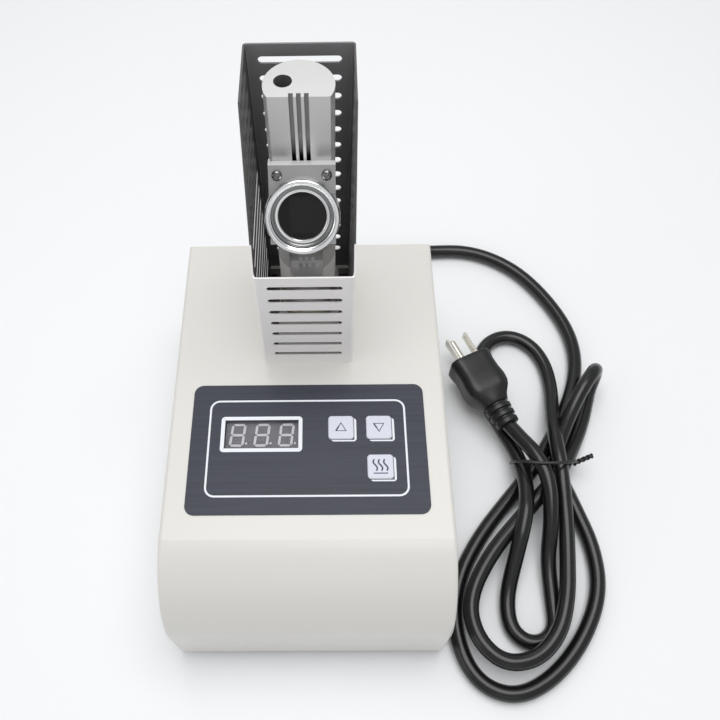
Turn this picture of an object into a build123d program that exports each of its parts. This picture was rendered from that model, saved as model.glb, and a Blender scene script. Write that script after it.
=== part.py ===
"""Melting point apparatus: a low cabinet with a key panel, and a slotted guard round an aluminium heating bar."""

import math
import os

from build123d import *

os.makedirs("parts", exist_ok=True)

# Cabinet
cabinet_width = 145.0
flat_length = 180.0  # from the bend line to the rear edge of the top
front_bulge = 37.5  # from the bend line to the foremost point of the rounded front
crease_angle = 12.0  # how far the front dips at the bend line before it rounds down
cabinet_height = 82.0
foot_height = 5.0
cover_wall = 2.0
cover_edge_radius = 2.0
panel_thickness = 2.0
seam = 0.3  # gap between the cover and the plates that close it
rear_proud = 7.5  # how far the switch and the fuse cap stand out behind the rear panel

# Guard
guard_width = 48.0
guard_depth = 67.5
guard_back_height = 152.5
guard_front_height = 77.5
guard_setback = 98.5  # from the bend line to the front of the guard
guard_sheet = 1.0
guard_level_length = 36.0  # level part of the side walls' upper edge, from the back
slot_length = 36.2
slot_height = 3.6
slot_pitch = 9.85
slot_end_margin = 8.0
front_slot_count = 7
back_slot_count = 14
flange_width = 6.0

# Heating bar
bar_diameter = 30.0
bar_top = 150.0  # above the cabinet's top
bar_gap_behind = 7.0  # between the bar and the guard's back wall
flat_offset = 7.5  # from the bar's axis to its flat
insulator_height = 6.0
insulator_diameter = 33.0
groove_width = 1.9
groove_depth = 2.2
groove_pitch = 3.2
pocket_width = 17.0
pocket_floor = 38.0  # above the cabinet's top
well_diameter = 7.8
well_depth = 60.0
well_x = -6.6
well_behind_axis = 2.0
heater_diameter = 9.6
heater_length = 70.0
heater_behind_axis = 2.5
probe_diameter = 3.0
probe_length = 55.0
bar_bolt_circle = 11.5
bar_bolt_diameter = 4.0
pin_clearance = 0.1

# Lens
lens_tilt = 36.0  # between the lens plate and the vertical
plate_top = 113.0  # where the plate's back meets the flat, above the cabinet's top
plate_length = 36.0
plate_thickness = 3.0
lens_station = 22.0  # from the plate's top to the lens axis, along the plate
ring_diameter = 34.0
ring_height = 8.0
ring_bore = 28.4
ring_lip = 25.4
cell_clearance = 0.06
cell_length = 4.6
lens_diameter = 24.6
lens_opening = 21.2
lens_edge = 1.6
lens_dome = 0.9
retainer_height = 1.4
focus_travel = 2.5
plate_screw_spacing = 22.2
plate_screw_inset = 4.6

# Key panel
overlay_width = 122.0
overlay_length = 72.3
overlay_setback = 12.2  # from the bend line
overlay_thickness = 0.4
overlay_corner = 5.0
window_width = 38.2
window_length = 15.8
window_x = -24.2
window_setback = 55.7
window_glass_margin = 2.0
key_size = 13.2
key_gap = 0.25
key_proud = 0.9
key_travel = 0.5
key_corner = 1.8
key_flange = 1.4
key_flange_thickness = 1.0
key_stem = 4.0
key_up_x = 17.1
key_right_x = 36.8
key_row_setback = 58.9
key_heat_setback = 37.0

# Boards
board_width = 112.0
board_length = 64.0
board_thickness = 1.6
display_width = 37.6
display_length = 19.0
display_height = 8.0
switch_side = 6.0
switch_height = 3.5
post_diameter = 6.0
power_board_width = 90.0
power_board_length = 62.0
power_board_y = 10.0
power_post_height = 8.0
transformer_width = 35.0
transformer_length = 30.0
transformer_height = 28.0

# Rear fittings
switch_x = -38.0
switch_z = 48.0
switch_cutout_width = 13.0
switch_cutout_height = 19.0
switch_bezel_width = 15.0
switch_bezel_height = 21.0
switch_bezel_depth = 2.0
switch_depth = 16.0
rocker_width = 9.6
rocker_height = 15.0
rocker_swing = 18.0
fuse_x = -4.0
fuse_z = 48.0
fuse_body_diameter = 12.4
fuse_flange_diameter = 16.0
fuse_cap_diameter = 12.0
fuse_depth = 28.0
relief_x = 28.0
relief_z = 24.0
relief_length = 20.0
relief_flange_diameter = 17.0
relief_shank_diameter = 12.0

# Cord
cord_diameter = 9.0
bundle_layer = 9.2

# Fasteners
m3 = 3.0
m3_head = 5.6
m3_head_height = 2.2
m4_head = 7.0
m4_head_height = 2.6

# Levels and stations in the part's own frame: the floor is z = 0, and the front faces -Y
floor_z = 0.0
top_z = foot_height + cabinet_height
half_width = cabinet_width / 2
bend_y = (front_bulge - flat_length - rear_proud) / 2
front_y = bend_y - front_bulge
rear_y = bend_y + flat_length
base_z = foot_height
base_top = base_z + panel_thickness
inner_top = top_z - cover_wall
inner_half = half_width - cover_wall
guard_front_y = bend_y + guard_setback
guard_back_y = guard_front_y + guard_depth
bar_y = guard_back_y - guard_sheet - bar_gap_behind - bar_diameter / 2
bar_radius = bar_diameter / 2
flat_y = bar_y - flat_offset
bar_base_z = top_z + insulator_height
bar_top_z = top_z + bar_top
tilt = math.radians(lens_tilt)

pieces = []


def keep(builder, label):
    """Write one finished sub-part."""
    builder.part.label = label
    export_step(builder.part, f"parts/{label}.step")
    pieces.append((label, builder.part))


def cabinet_outline(inset):
    """Side outline of the cabinet, moved inwards by inset, closed at the bottom and the rear."""
    radius = front_bulge / (1 - math.sin(math.radians(crease_angle)))
    centre = (front_y + radius, top_z - radius * math.cos(math.radians(crease_angle)))
    reach = radius - inset
    level = top_z - inset
    floor = base_z - inset
    back = rear_y + inset
    start = 180 - math.degrees(math.asin((level - centre[1]) / reach))
    with BuildLine() as outline:
        Line((back, floor), (back, level))
        Line((back, level), (centre[0] + reach * math.cos(math.radians(start)), level))
        CenterArc(centre, reach, start, 180 - start)
        Line((front_y + inset, centre[1]), (front_y + inset, floor))
        Line((front_y + inset, floor), (back, floor))
    return outline.line


side_plane = Plane.YZ

# Corner bosses that take the base screws and the rear panel's screws
boss_radius = 5.5
boss_x = inner_half - boss_radius + 0.6
boss_front_y = front_y + 13.0
boss_rear_y = rear_y - 22.0
boss_top_z = base_top + 34.0
rear_boss_z = (base_z + 14.0, top_z - 12.0)
rear_boss_length = 14.0
panel_back_y = rear_y
panel_front_y = rear_y - panel_thickness
boss_places = [(sx * boss_x, y) for sx in (-1, 1) for y in (boss_front_y, boss_rear_y)]
rear_boss_places = [(sx * boss_x, z) for sx in (-1, 1) for z in rear_boss_z]

window_y = bend_y + window_setback
overlay_y = bend_y + overlay_setback + overlay_length / 2
key_places = {
    "key_up": (key_up_x, bend_y + key_row_setback),
    "key_down": (key_right_x, bend_y + key_row_setback),
    "key_heat": (key_right_x, bend_y + key_heat_setback),
}
glass_width = window_width + 2 * window_glass_margin
glass_length = window_length + 2 * window_glass_margin
board_y = overlay_y - 1.0
display_gap = 0.4
board_top_z = inner_top - display_gap - display_height
board_z = board_top_z - board_thickness
post_places = [
    (sx * (board_width / 2 - 5), board_y + sy * (board_length / 2 - 5)) for sx in (-1, 1) for sy in (-1, 1)
]
heater_y = bar_y + heater_behind_axis
bar_bolt_places = [
    (
        bar_bolt_circle * math.cos(math.radians(a)),
        bar_y + bar_bolt_circle * math.sin(math.radians(a)),
    )
    for a in (90, 210, 330)
]
probe_x = 9.5
flange_screw_places = [
    (sx * (guard_width / 2 - guard_sheet - flange_width / 2), y)
    for sx in (-1, 1)
    for y in (guard_front_y + 12.0, guard_back_y - 12.0)
]

with BuildPart() as top_cover:
    with BuildSketch(side_plane):
        with BuildLine():
            add(cabinet_outline(0.0))
        make_face()
    extrude(amount=half_width, both=True)
    side_faces = top_cover.faces().filter_by(Axis.X).sort_by(Axis.X)
    rim = (side_faces[0].edges() + side_faces[-1].edges()).filter_by(
        lambda e: e.center().Z > base_z + 0.5 and e.center().Y < rear_y - 0.5
    )
    fillet(rim, cover_edge_radius)
    with BuildSketch(side_plane):
        with BuildLine():
            add(cabinet_outline(cover_wall))
        make_face()
    extrude(amount=inner_half, both=True, mode=Mode.SUBTRACT)
    for x, y in boss_places:
        with BuildSketch(Plane.XY.offset(base_top)):
            with Locations((x, y)):
                Circle(boss_radius)
        extrude(amount=boss_top_z - base_top)
    for x, z in rear_boss_places:
        with BuildSketch(Plane.XZ.offset(-panel_front_y)):
            with Locations((x, z)):
                Circle(boss_radius)
        extrude(amount=rear_boss_length)
    with Locations(*[(x, y, base_top) for x, y in boss_places]):
        Hole(m3 / 2 + pin_clearance, depth=2 * 14.0)
    for x, z in rear_boss_places:
        with Locations(Plane.XZ.offset(-panel_front_y)):
            with Locations((x, z)):
                Hole(m3 / 2 + pin_clearance, depth=10.0)
    with BuildSketch(Plane.XY.offset(inner_top - 1)):
        with Locations((window_x, window_y)):
            Rectangle(glass_width + 2 * key_gap, glass_length + 2 * key_gap)
        for x, y in key_places.values():
            with Locations((x, y)):
                RectangleRounded(key_size + 2 * key_gap, key_size + 2 * key_gap, key_corner)
        with Locations((0, heater_y)):
            Circle(heater_diameter / 2 + pin_clearance)
        with Locations((probe_x, heater_y)):
            Circle(probe_diameter / 2 + pin_clearance)
        with Locations(*bar_bolt_places):
            Circle(bar_bolt_diameter / 2 + pin_clearance)
        with Locations(*flange_screw_places):
            Circle(m3 / 2 + pin_clearance)
    extrude(amount=cover_wall + 2, mode=Mode.SUBTRACT)
    # ventilation louvres low in both side walls
    with BuildSketch(Plane.YZ.offset(-half_width - 1)):
        with Locations((rear_y - 62.0, base_z + 28.0)):
            with GridLocations(6.0, 0, 9, 1):
                SlotOverall(18.0, 2.4, rotation=90)
    extrude(amount=cabinet_width + 2, mode=Mode.SUBTRACT)
keep(top_cover, "top_cover")

base_half = inner_half - seam
base_front_y = front_y + cover_wall + seam
with BuildPart() as base_plate:
    with BuildSketch(Plane.XY.offset(base_z)):
        with Locations((0, (base_front_y + panel_back_y) / 2)):
            Rectangle(2 * base_half, panel_back_y - base_front_y)
    extrude(amount=panel_thickness)
    fillet(base_plate.edges().filter_by(Axis.Z), 1.0)
    with Locations(*[(x, y, base_top) for x, y in boss_places]):
        Hole(m3 / 2 + pin_clearance)
    with BuildSketch(Plane.XY.offset(base_z - 1)):
        with Locations((0, power_board_y)):
            with GridLocations(0, 10.0, 1, 5):
                SlotOverall(60.0, 3.2)
    extrude(amount=panel_thickness + 2, mode=Mode.SUBTRACT)
keep(base_plate, "base_plate")

rear_panel_top = inner_top - seam
rear_panel_base = base_top
relief_hole = relief_shank_diameter / 2 + pin_clearance
with BuildPart() as rear_panel:
    with BuildSketch(Plane.XZ.offset(-panel_back_y)):
        with Locations((0, (rear_panel_base + rear_panel_top) / 2)):
            Rectangle(2 * base_half, rear_panel_top - rear_panel_base)
        with Locations((switch_x, switch_z)):
            Rectangle(switch_cutout_width + 0.2, switch_cutout_height + 0.2, mode=Mode.SUBTRACT)
        with Locations((fuse_x, fuse_z)):
            Circle(fuse_body_diameter / 2 + pin_clearance, mode=Mode.SUBTRACT)
        with Locations((relief_x, relief_z)):
            Circle(relief_hole, mode=Mode.SUBTRACT)
        with Locations(*rear_boss_places):
            Circle(m3 / 2 + pin_clearance, mode=Mode.SUBTRACT)
    extrude(amount=panel_thickness)
    fillet(rear_panel.edges().filter_by(Axis.Y).filter_by(
        lambda e: abs(abs(e.center().X) - base_half) < 0.01), 1.5)
keep(rear_panel, "rear_panel")

foot_places = [
    (sx * (half_width - 16.0), y) for sx in (-1, 1) for y in (front_y + 24.0, rear_y - 16.0)
]
with BuildPart() as rubber_feet:
    for x, y in foot_places:
        with BuildSketch(Plane.XY):
            with Locations((x, y)):
                Circle(6.5)
        extrude(amount=foot_height, taper=-6)
    with Locations(*[(x, y, floor_z) for x, y in foot_places]):
        CounterBoreHole(m3 / 2 + pin_clearance, m3_head / 2 + 0.4, m3_head_height + 0.6, depth=foot_height * 2)
keep(rubber_feet, "rubber_feet")


def pan_screw(plane, diameter, head, head_height, length):
    """A pan-head screw whose head stands on the plane and whose shank goes below it."""
    with BuildPart() as screw:
        with BuildSketch(plane):
            Circle(head / 2)
        extrude(amount=head_height)
        with BuildSketch(plane):
            Circle(diameter / 2)
        extrude(amount=-length)
    return screw.part


def down(x, y, z):
    """A plane at the point that faces the floor."""
    return Plane(origin=(x, y, z), x_dir=(1, 0, 0), z_dir=(0, 0, -1))


with BuildPart() as base_screws:
    for x, y in boss_places:
        add(pan_screw(down(x, y, base_z), m3, m3_head, m3_head_height, panel_thickness + 12.0))
keep(base_screws, "base_screws")

with BuildPart() as rear_panel_screws:
    for x, z in rear_boss_places:
        rear_facing = Plane(origin=(x, panel_back_y, z), x_dir=(-1, 0, 0), z_dir=(0, 1, 0))
        add(pan_screw(rear_facing, m3, m3_head, m3_head_height, panel_thickness + 8.0))
keep(rear_panel_screws, "rear_panel_screws")

# Guard: one folded tube of slotted sheet, low at the front, with its side walls sloping up to the back
guard_mid_y = (guard_front_y + guard_back_y) / 2
guard_top_z = top_z + guard_back_height
guard_front_top_z = top_z + guard_front_height
guard_corner = 2.0
slope_y = guard_back_y - guard_level_length


def slope_at(z):
    """The y of the side walls' front edge at a height."""
    share = (z - guard_front_top_z) / (guard_top_z - guard_front_top_z)
    return guard_front_y + max(0.0, min(1.0, share)) * (slope_y - guard_front_y)


with BuildPart() as guard:
    with BuildSketch(Plane.XY.offset(top_z)):
        with Locations((0, guard_mid_y)):
            RectangleRounded(guard_width, guard_depth, guard_corner)
            RectangleRounded(
                guard_width - 2 * guard_sheet,
                guard_depth - 2 * guard_sheet,
                guard_corner - guard_sheet,
                mode=Mode.SUBTRACT,
            )
    extrude(amount=guard_back_height)
    with BuildSketch(side_plane):
        with BuildLine():
            Polyline(
                (guard_front_y - 1, guard_front_top_z),
                (guard_front_y + guard_sheet, guard_front_top_z),
                (slope_y, guard_top_z),
                (slope_y, guard_top_z + 1),
                (guard_front_y - 1, guard_top_z + 1),
                close=True,
            )
        make_face()
    extrude(amount=guard_width, both=True, mode=Mode.SUBTRACT)
    for side in (-1, 1):
        with BuildSketch(Plane.XY.offset(top_z)):
            with Locations((side * (guard_width / 2 - guard_sheet / 2 - flange_width / 2), guard_mid_y)):
                Rectangle(flange_width + guard_sheet, guard_depth - 8.0)
        extrude(amount=guard_sheet)
    with Locations(*[(x, y, top_z + guard_sheet) for x, y in flange_screw_places]):
        Hole(m3 / 2 + pin_clearance, depth=2 * guard_sheet)
    first_front_slot = guard_front_top_z - slot_end_margin - 0.5
    with BuildSketch(Plane.XZ.offset(-guard_front_y - guard_sheet - 1)):
        for k in range(front_slot_count):
            with Locations((0, first_front_slot - k * slot_pitch)):
                SlotOverall(slot_length, slot_height)
    extrude(amount=guard_sheet + 3, mode=Mode.SUBTRACT)
    first_back_slot = guard_top_z - slot_end_margin
    with BuildSketch(Plane.XZ.offset(-guard_back_y - 1)):
        for k in range(back_slot_count):
            with Locations((0, first_back_slot - k * slot_pitch)):
                SlotOverall(slot_length, slot_height)
    extrude(amount=guard_sheet + 3, mode=Mode.SUBTRACT)
    side_slot_back = guard_back_y - slot_end_margin
    with BuildSketch(Plane.YZ.offset(-guard_width)):
        for k in range(back_slot_count):
            slot_z = first_back_slot - k * slot_pitch
            slot_front = slope_at(slot_z) + slot_end_margin
            if side_slot_back - slot_front > 3 * slot_height:
                with Locations(((slot_front + side_slot_back) / 2, slot_z)):
                    SlotOverall(side_slot_back - slot_front, slot_height)
    extrude(amount=2 * guard_width, mode=Mode.SUBTRACT)
keep(guard, "guard")

with BuildPart() as guard_screws:
    for x, y in flange_screw_places:
        add(pan_screw(Plane.XY.offset(top_z + guard_sheet).move(Location((x, y, 0))), m3, m3_head, m3_head_height, guard_sheet + cover_wall + 3.0))
keep(guard_screws, "guard_screws")

with BuildPart() as guard_nuts:
    for x, y in flange_screw_places:
        with BuildSketch(down(x, y, inner_top)):
            RegularPolygon(3.1, 6)
            Circle(m3 / 2 + pin_clearance, mode=Mode.SUBTRACT)
        extrude(amount=2.4)
keep(guard_nuts, "guard_nuts")

# Heating assembly
with BuildPart() as insulator:
    with BuildSketch(Plane.XY.offset(top_z)):
        with Locations((0, bar_y)):
            Circle(insulator_diameter / 2)
        with Locations((0, heater_y)):
            Circle(heater_diameter / 2 + pin_clearance, mode=Mode.SUBTRACT)
        with Locations((probe_x, heater_y)):
            Circle(probe_diameter / 2 + pin_clearance, mode=Mode.SUBTRACT)
        with Locations(*bar_bolt_places):
            Circle(bar_bolt_diameter / 2 + pin_clearance, mode=Mode.SUBTRACT)
    extrude(amount=insulator_height)
    chamfer(insulator.faces().sort_by(Axis.Z)[-1].outer_wire().edges(), 1.0)
keep(insulator, "insulator")

seat_z = top_z + plate_top
with BuildPart() as heating_bar:
    with BuildSketch(Plane.XY.offset(bar_base_z)):
        with Locations((0, bar_y)):
            Circle(bar_radius)
    extrude(amount=bar_top_z - bar_base_z)
    reach_front = bar_radius + 5.0
    with BuildSketch(side_plane):
        with BuildLine():
            Polyline(
                (flat_y, seat_z),
                (flat_y, bar_top_z + 1),
                (flat_y - reach_front, bar_top_z + 1),
                (flat_y - reach_front, seat_z - reach_front / math.tan(tilt)),
                close=True,
            )
        make_face()
    extrude(amount=bar_radius + 1, both=True, mode=Mode.SUBTRACT)
    pocket_z = top_z + pocket_floor
    with BuildSketch(Plane.XZ.offset(-flat_y)):
        with Locations((0, (pocket_z + seat_z) / 2)):
            Rectangle(pocket_width, seat_z - pocket_z)
    extrude(amount=reach_front, mode=Mode.SUBTRACT)
    with BuildSketch(Plane.XY.offset(pocket_z)):
        with Locations((0, flat_y)):
            with GridLocations(groove_pitch, 0, 3, 1):
                Rectangle(groove_width, 2 * groove_depth)
    extrude(amount=bar_top_z - pocket_z + 1, mode=Mode.SUBTRACT)
    with Locations((well_x, bar_y + well_behind_axis, bar_top_z)):
        Hole(well_diameter / 2, depth=well_depth)
    with Locations(down(0, heater_y, bar_base_z)):
        Hole(heater_diameter / 2 + pin_clearance, depth=heater_length)
    with Locations(down(probe_x, heater_y, bar_base_z)):
        Hole(probe_diameter / 2 + pin_clearance, depth=probe_length)
    for x, y in bar_bolt_places:
        with Locations(down(x, y, bar_base_z)):
            Hole(bar_bolt_diameter / 2 + pin_clearance, depth=14.0)
    screw_up = (0, -math.cos(tilt), math.sin(tilt))
    for side in (-1, 1):
        screw_seat = (
            side * plate_screw_spacing / 2,
            flat_y - plate_screw_inset * math.sin(tilt),
            seat_z - plate_screw_inset * math.cos(tilt),
        )
        with Locations(Plane(origin=screw_seat, x_dir=(1, 0, 0), z_dir=screw_up)):
            Hole(2.5 / 2 + pin_clearance, depth=9.0)
keep(heating_bar, "heating_bar")

lead_drop = 6.0
with BuildPart() as heater_cartridge:
    with BuildSketch(Plane.XY.offset(inner_top - lead_drop)):
        with Locations((0, heater_y)):
            Circle(heater_diameter / 2)
    extrude(amount=bar_base_z + heater_length - inner_top + lead_drop - 0.5)
    chamfer(heater_cartridge.faces().sort_by(Axis.Z)[-1].edges(), 0.8)
keep(heater_cartridge, "heater_cartridge")

with BuildPart() as temperature_probe:
    with BuildSketch(Plane.XY.offset(inner_top - lead_drop)):
        with Locations((probe_x, heater_y)):
            Circle(probe_diameter / 2)
    extrude(amount=bar_base_z + probe_length - inner_top + lead_drop - 0.5)
    fillet(temperature_probe.faces().sort_by(Axis.Z)[-1].edges(), 0.8)
keep(temperature_probe, "temperature_probe")

with BuildPart() as bar_bolts:
    for x, y in bar_bolt_places:
        add(pan_screw(down(x, y, inner_top), bar_bolt_diameter, m4_head, m4_head_height, cover_wall + insulator_height + 12.0))
keep(bar_bolts, "bar_bolts")

# Lens: everything here is drawn on a plane at the middle of the lens plate's back, facing the viewer
lens_axis = Vector(0, -math.cos(tilt), math.sin(tilt))
lens_origin = Vector(
    0, flat_y - lens_station * math.sin(tilt), seat_z - lens_station * math.cos(tilt)
)


def lens_plane(distance):
    """A plane across the lens axis, at a distance in front of the lens plate's back."""
    return Plane(origin=lens_origin + lens_axis * distance, x_dir=(1, 0, 0), z_dir=lens_axis)


plate_land_z = seat_z + plate_thickness * math.sin(tilt)
with BuildPart() as lens_plate:
    plate_seat = 0.02
    with BuildSketch(side_plane):
        with BuildLine():
            Polyline(
                (flat_y - plate_seat, seat_z),
                (flat_y - plate_seat, plate_land_z),
                (flat_y - plate_thickness * math.cos(tilt), plate_land_z),
                (
                    flat_y - plate_thickness * math.cos(tilt) - plate_length * math.sin(tilt),
                    plate_land_z - plate_length * math.cos(tilt),
                ),
                (flat_y - plate_length * math.sin(tilt), seat_z - plate_length * math.cos(tilt)),
                close=True,
            )
        make_face()
    extrude(amount=bar_radius, both=True)
    with BuildSketch(lens_plane(-1)):
        Circle(ring_lip / 2)
    extrude(amount=plate_thickness + 2, mode=Mode.SUBTRACT)
    for side in (-1, 1):
        screw_place = Vector(
            side * plate_screw_spacing / 2,
            flat_y - plate_screw_inset * math.sin(tilt),
            seat_z - plate_screw_inset * math.cos(tilt),
        )
        with BuildSketch(Plane(origin=screw_place - lens_axis, x_dir=(1, 0, 0), z_dir=lens_axis)):
            Circle(2.5 / 2 + pin_clearance)
        extrude(amount=plate_thickness + 2, mode=Mode.SUBTRACT)
keep(lens_plate, "lens_plate")

with BuildPart() as lens_plate_screws:
    for side in (-1, 1):
        screw_place = Vector(
            side * plate_screw_spacing / 2,
            flat_y - plate_screw_inset * math.sin(tilt),
            seat_z - plate_screw_inset * math.cos(tilt),
        )
        head_place = screw_place + lens_axis * plate_thickness
        add(pan_screw(Plane(origin=head_place, x_dir=(1, 0, 0), z_dir=lens_axis), 2.5, 4.6, 1.7, plate_thickness + 6.0))
keep(lens_plate_screws, "lens_plate_screws")

ring_floor = plate_thickness + 1.0
with BuildPart() as lens_ring:
    with BuildSketch(lens_plane(plate_thickness)):
        Circle(ring_diameter / 2)
    extrude(amount=ring_height)
    with BuildSketch(lens_plane(ring_floor)):
        Circle(ring_bore / 2)
    extrude(amount=ring_height, mode=Mode.SUBTRACT)
    with BuildSketch(lens_plane(plate_thickness - 1)):
        Circle(ring_lip / 2)
    extrude(amount=ring_height, mode=Mode.SUBTRACT)
    rim_edges = lens_ring.edges().filter_by(GeomType.CIRCLE).sort_by(
        lambda e: (e.arc_center - lens_origin).dot(lens_axis))
    chamfer(rim_edges[-2:], 0.5)
keep(lens_ring, "lens_ring")

cell_back = ring_floor + 0.02
seat_step = cell_back + 1.0
with BuildPart() as lens_cell:
    with BuildSketch(lens_plane(cell_back)):
        Circle(ring_bore / 2 - cell_clearance)
    extrude(amount=cell_length)
    with BuildSketch(lens_plane(seat_step)):
        Circle(lens_diameter / 2 + pin_clearance)
    extrude(amount=cell_length, mode=Mode.SUBTRACT)
    with BuildSketch(lens_plane(cell_back - 1)):
        Circle(lens_opening / 2)
    extrude(amount=cell_length, mode=Mode.SUBTRACT)
keep(lens_cell, "lens_cell")

lens_section = Plane(origin=lens_plane(seat_step).origin, x_dir=(1, 0, 0), z_dir=(0, -math.sin(tilt), -math.cos(tilt)))
lens_rim = lens_diameter / 2
lens_clear = lens_opening / 2 - 0.3
lens_sphere = (lens_clear**2 + lens_dome**2) / (2 * lens_dome)
lens_shoulder = lens_dome - lens_sphere + math.sqrt(lens_sphere**2 - lens_clear**2 / 4)
with BuildPart() as lens:
    with BuildSketch(lens_section):
        with BuildLine():
            Line((0, -lens_dome), (0, lens_edge + lens_dome))
            ThreePointArc((0, lens_edge + lens_dome), (lens_clear / 2, lens_edge + lens_shoulder),
                          (lens_clear, lens_edge))
            Line((lens_clear, lens_edge), (lens_rim, lens_edge))
            Line((lens_rim, lens_edge), (lens_rim, 0))
            Line((lens_rim, 0), (lens_clear, 0))
            ThreePointArc((lens_clear, 0), (lens_clear / 2, -lens_shoulder), (0, -lens_dome))
        make_face()
    revolve(axis=Axis(lens_origin, lens_axis))
keep(lens, "lens")

with BuildPart() as lens_retainer:
    with BuildSketch(lens_plane(seat_step + lens_edge)):
        Circle(lens_rim)
        Circle(lens_opening / 2, mode=Mode.SUBTRACT)
    extrude(amount=retainer_height)
    with BuildSketch(lens_plane(seat_step + lens_edge + retainer_height - 0.7)):
        Rectangle(lens_diameter + 2, 1.2)
    extrude(amount=2.0, mode=Mode.SUBTRACT)
keep(lens_retainer, "lens_retainer")

# Key panel
with BuildPart() as overlay_panel:
    with BuildSketch(Plane.XY.offset(top_z)):
        with Locations((0, overlay_y)):
            RectangleRounded(overlay_width, overlay_length, overlay_corner)
        with Locations((window_x, window_y)):
            Rectangle(window_width, window_length, mode=Mode.SUBTRACT)
        for x, y in key_places.values():
            with Locations((x, y)):
                RectangleRounded(key_size + 2 * key_gap, key_size + 2 * key_gap, key_corner,
                                 mode=Mode.SUBTRACT)
    extrude(amount=overlay_thickness)
keep(overlay_panel, "overlay_panel")

with BuildPart() as display_window:
    with BuildSketch(Plane.XY.offset(inner_top)):
        with Locations((window_x, window_y)):
            Rectangle(glass_width, glass_length)
    extrude(amount=cover_wall)
keep(display_window, "display_window")

digit_height = 14.2
digit_pitch = 12.7
with BuildPart() as display_module:
    with BuildSketch(Plane.XY.offset(board_top_z)):
        with Locations((window_x, window_y)):
            Rectangle(display_width, display_length)
    extrude(amount=display_height)
    with BuildSketch(Plane.XY.offset(board_top_z + display_height - 0.3)):
        for k in (-1, 0, 1):
            slant = 1.2
            with Locations((window_x + k * digit_pitch, window_y)):
                for row in (-1, 0, 1):
                    with Locations((slant * row, row * digit_height * 0.42)):
                        Rectangle(5.4, 1.1)
                for column in (-1, 1):
                    for row in (-0.5, 0.5):
                        with Locations((column * 3.5 + slant * row, row * digit_height * 0.42)):
                            Rectangle(1.1, 4.4)
    extrude(amount=1.0, mode=Mode.SUBTRACT)
keep(display_module, "display_module")

switch_body_top = board_top_z + switch_height
key_stem_base = board_top_z + switch_height + 1.0
flange_top = inner_top - 0.3
key_top = top_z + overlay_thickness + key_proud


def key_cap(label, x, y):
    """A square key that stands in the cover's hole, with a flange below and a stem down to its switch."""
    with BuildPart() as key:
        with BuildSketch(Plane.XY.offset(flange_top - key_flange_thickness)):
            with Locations((x, y)):
                RectangleRounded(key_size + 2 * key_flange, key_size + 2 * key_flange, key_corner)
        extrude(amount=key_flange_thickness)
        with BuildSketch(Plane.XY.offset(flange_top)):
            with Locations((x, y)):
                RectangleRounded(key_size, key_size, key_corner)
        extrude(amount=key_top - flange_top)
        chamfer(key.faces().sort_by(Axis.Z)[-1].edges(), 0.4)
        with BuildSketch(Plane.XY.offset(key_stem_base)):
            with Locations((x, y)):
                Circle(key_stem / 2)
        extrude(amount=flange_top - key_stem_base - key_flange_thickness / 2)
    keep(key, label)


for name, (x, y) in key_places.items():
    key_cap(name, x, y)

with BuildPart() as key_switches:
    for x, y in key_places.values():
        with BuildSketch(Plane.XY.offset(board_top_z)):
            with Locations((x, y)):
                Rectangle(switch_side, switch_side)
        extrude(amount=switch_height)
        with BuildSketch(Plane.XY.offset(switch_body_top)):
            with Locations((x, y)):
                Circle(1.7)
        extrude(amount=0.4)
keep(key_switches, "key_switches")

with BuildPart() as control_board:
    with BuildSketch(Plane.XY.offset(board_z)):
        with Locations((0, board_y)):
            Rectangle(board_width, board_length)
        with Locations(*post_places):
            Circle(m3 / 2 + pin_clearance, mode=Mode.SUBTRACT)
    extrude(amount=board_thickness)
keep(control_board, "control_board")

with BuildPart() as control_chips:
    for x, y, w, h, t in ((-10.0, 22.0, 36.0, 8.0, 3.5), (30.0, 22.0, 20.0, 8.0, 3.5), (-40.0, -18.0, 12.0, 12.0, 9.0)):
        with BuildSketch(down(x, board_y + y, board_z)):
            Rectangle(w, h)
        extrude(amount=t)
keep(control_chips, "control_chips")

with BuildPart() as board_posts:
    for x, y in post_places:
        with BuildSketch(Plane.XY.offset(board_top_z)):
            with Locations((x, y)):
                RegularPolygon(post_diameter / 2, 6)
                Circle(m3 / 2 + pin_clearance, mode=Mode.SUBTRACT)
        extrude(amount=inner_top - board_top_z)
keep(board_posts, "board_posts")

with BuildPart() as board_screws:
    for x, y in post_places:
        add(pan_screw(down(x, y, board_z), m3, m3_head, m3_head_height, board_thickness + 6.0))
keep(board_screws, "board_screws")

# Power supply on the base plate
power_board_z = base_top + power_post_height
power_post_places = [
    (sx * (power_board_width / 2 - 5), power_board_y + sy * (power_board_length / 2 - 5))
    for sx in (-1, 1)
    for sy in (-1, 1)
]
with BuildPart() as power_posts:
    for x, y in power_post_places:
        with BuildSketch(Plane.XY.offset(base_top)):
            with Locations((x, y)):
                RegularPolygon(post_diameter / 2, 6)
                Circle(m3 / 2 + pin_clearance, mode=Mode.SUBTRACT)
        extrude(amount=power_post_height)
keep(power_posts, "power_posts")

with BuildPart() as power_board:
    with BuildSketch(Plane.XY.offset(power_board_z)):
        with Locations((0, power_board_y)):
            Rectangle(power_board_width, power_board_length)
        with Locations(*power_post_places):
            Circle(m3 / 2 + pin_clearance, mode=Mode.SUBTRACT)
    extrude(amount=board_thickness)
keep(power_board, "power_board")

power_top = power_board_z + board_thickness
with BuildPart() as power_screws:
    for x, y in power_post_places:
        add(pan_screw(Plane.XY.offset(power_top).move(Location((x, y, 0))), m3, m3_head, m3_head_height, board_thickness + 5.0))
keep(power_screws, "power_screws")

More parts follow.
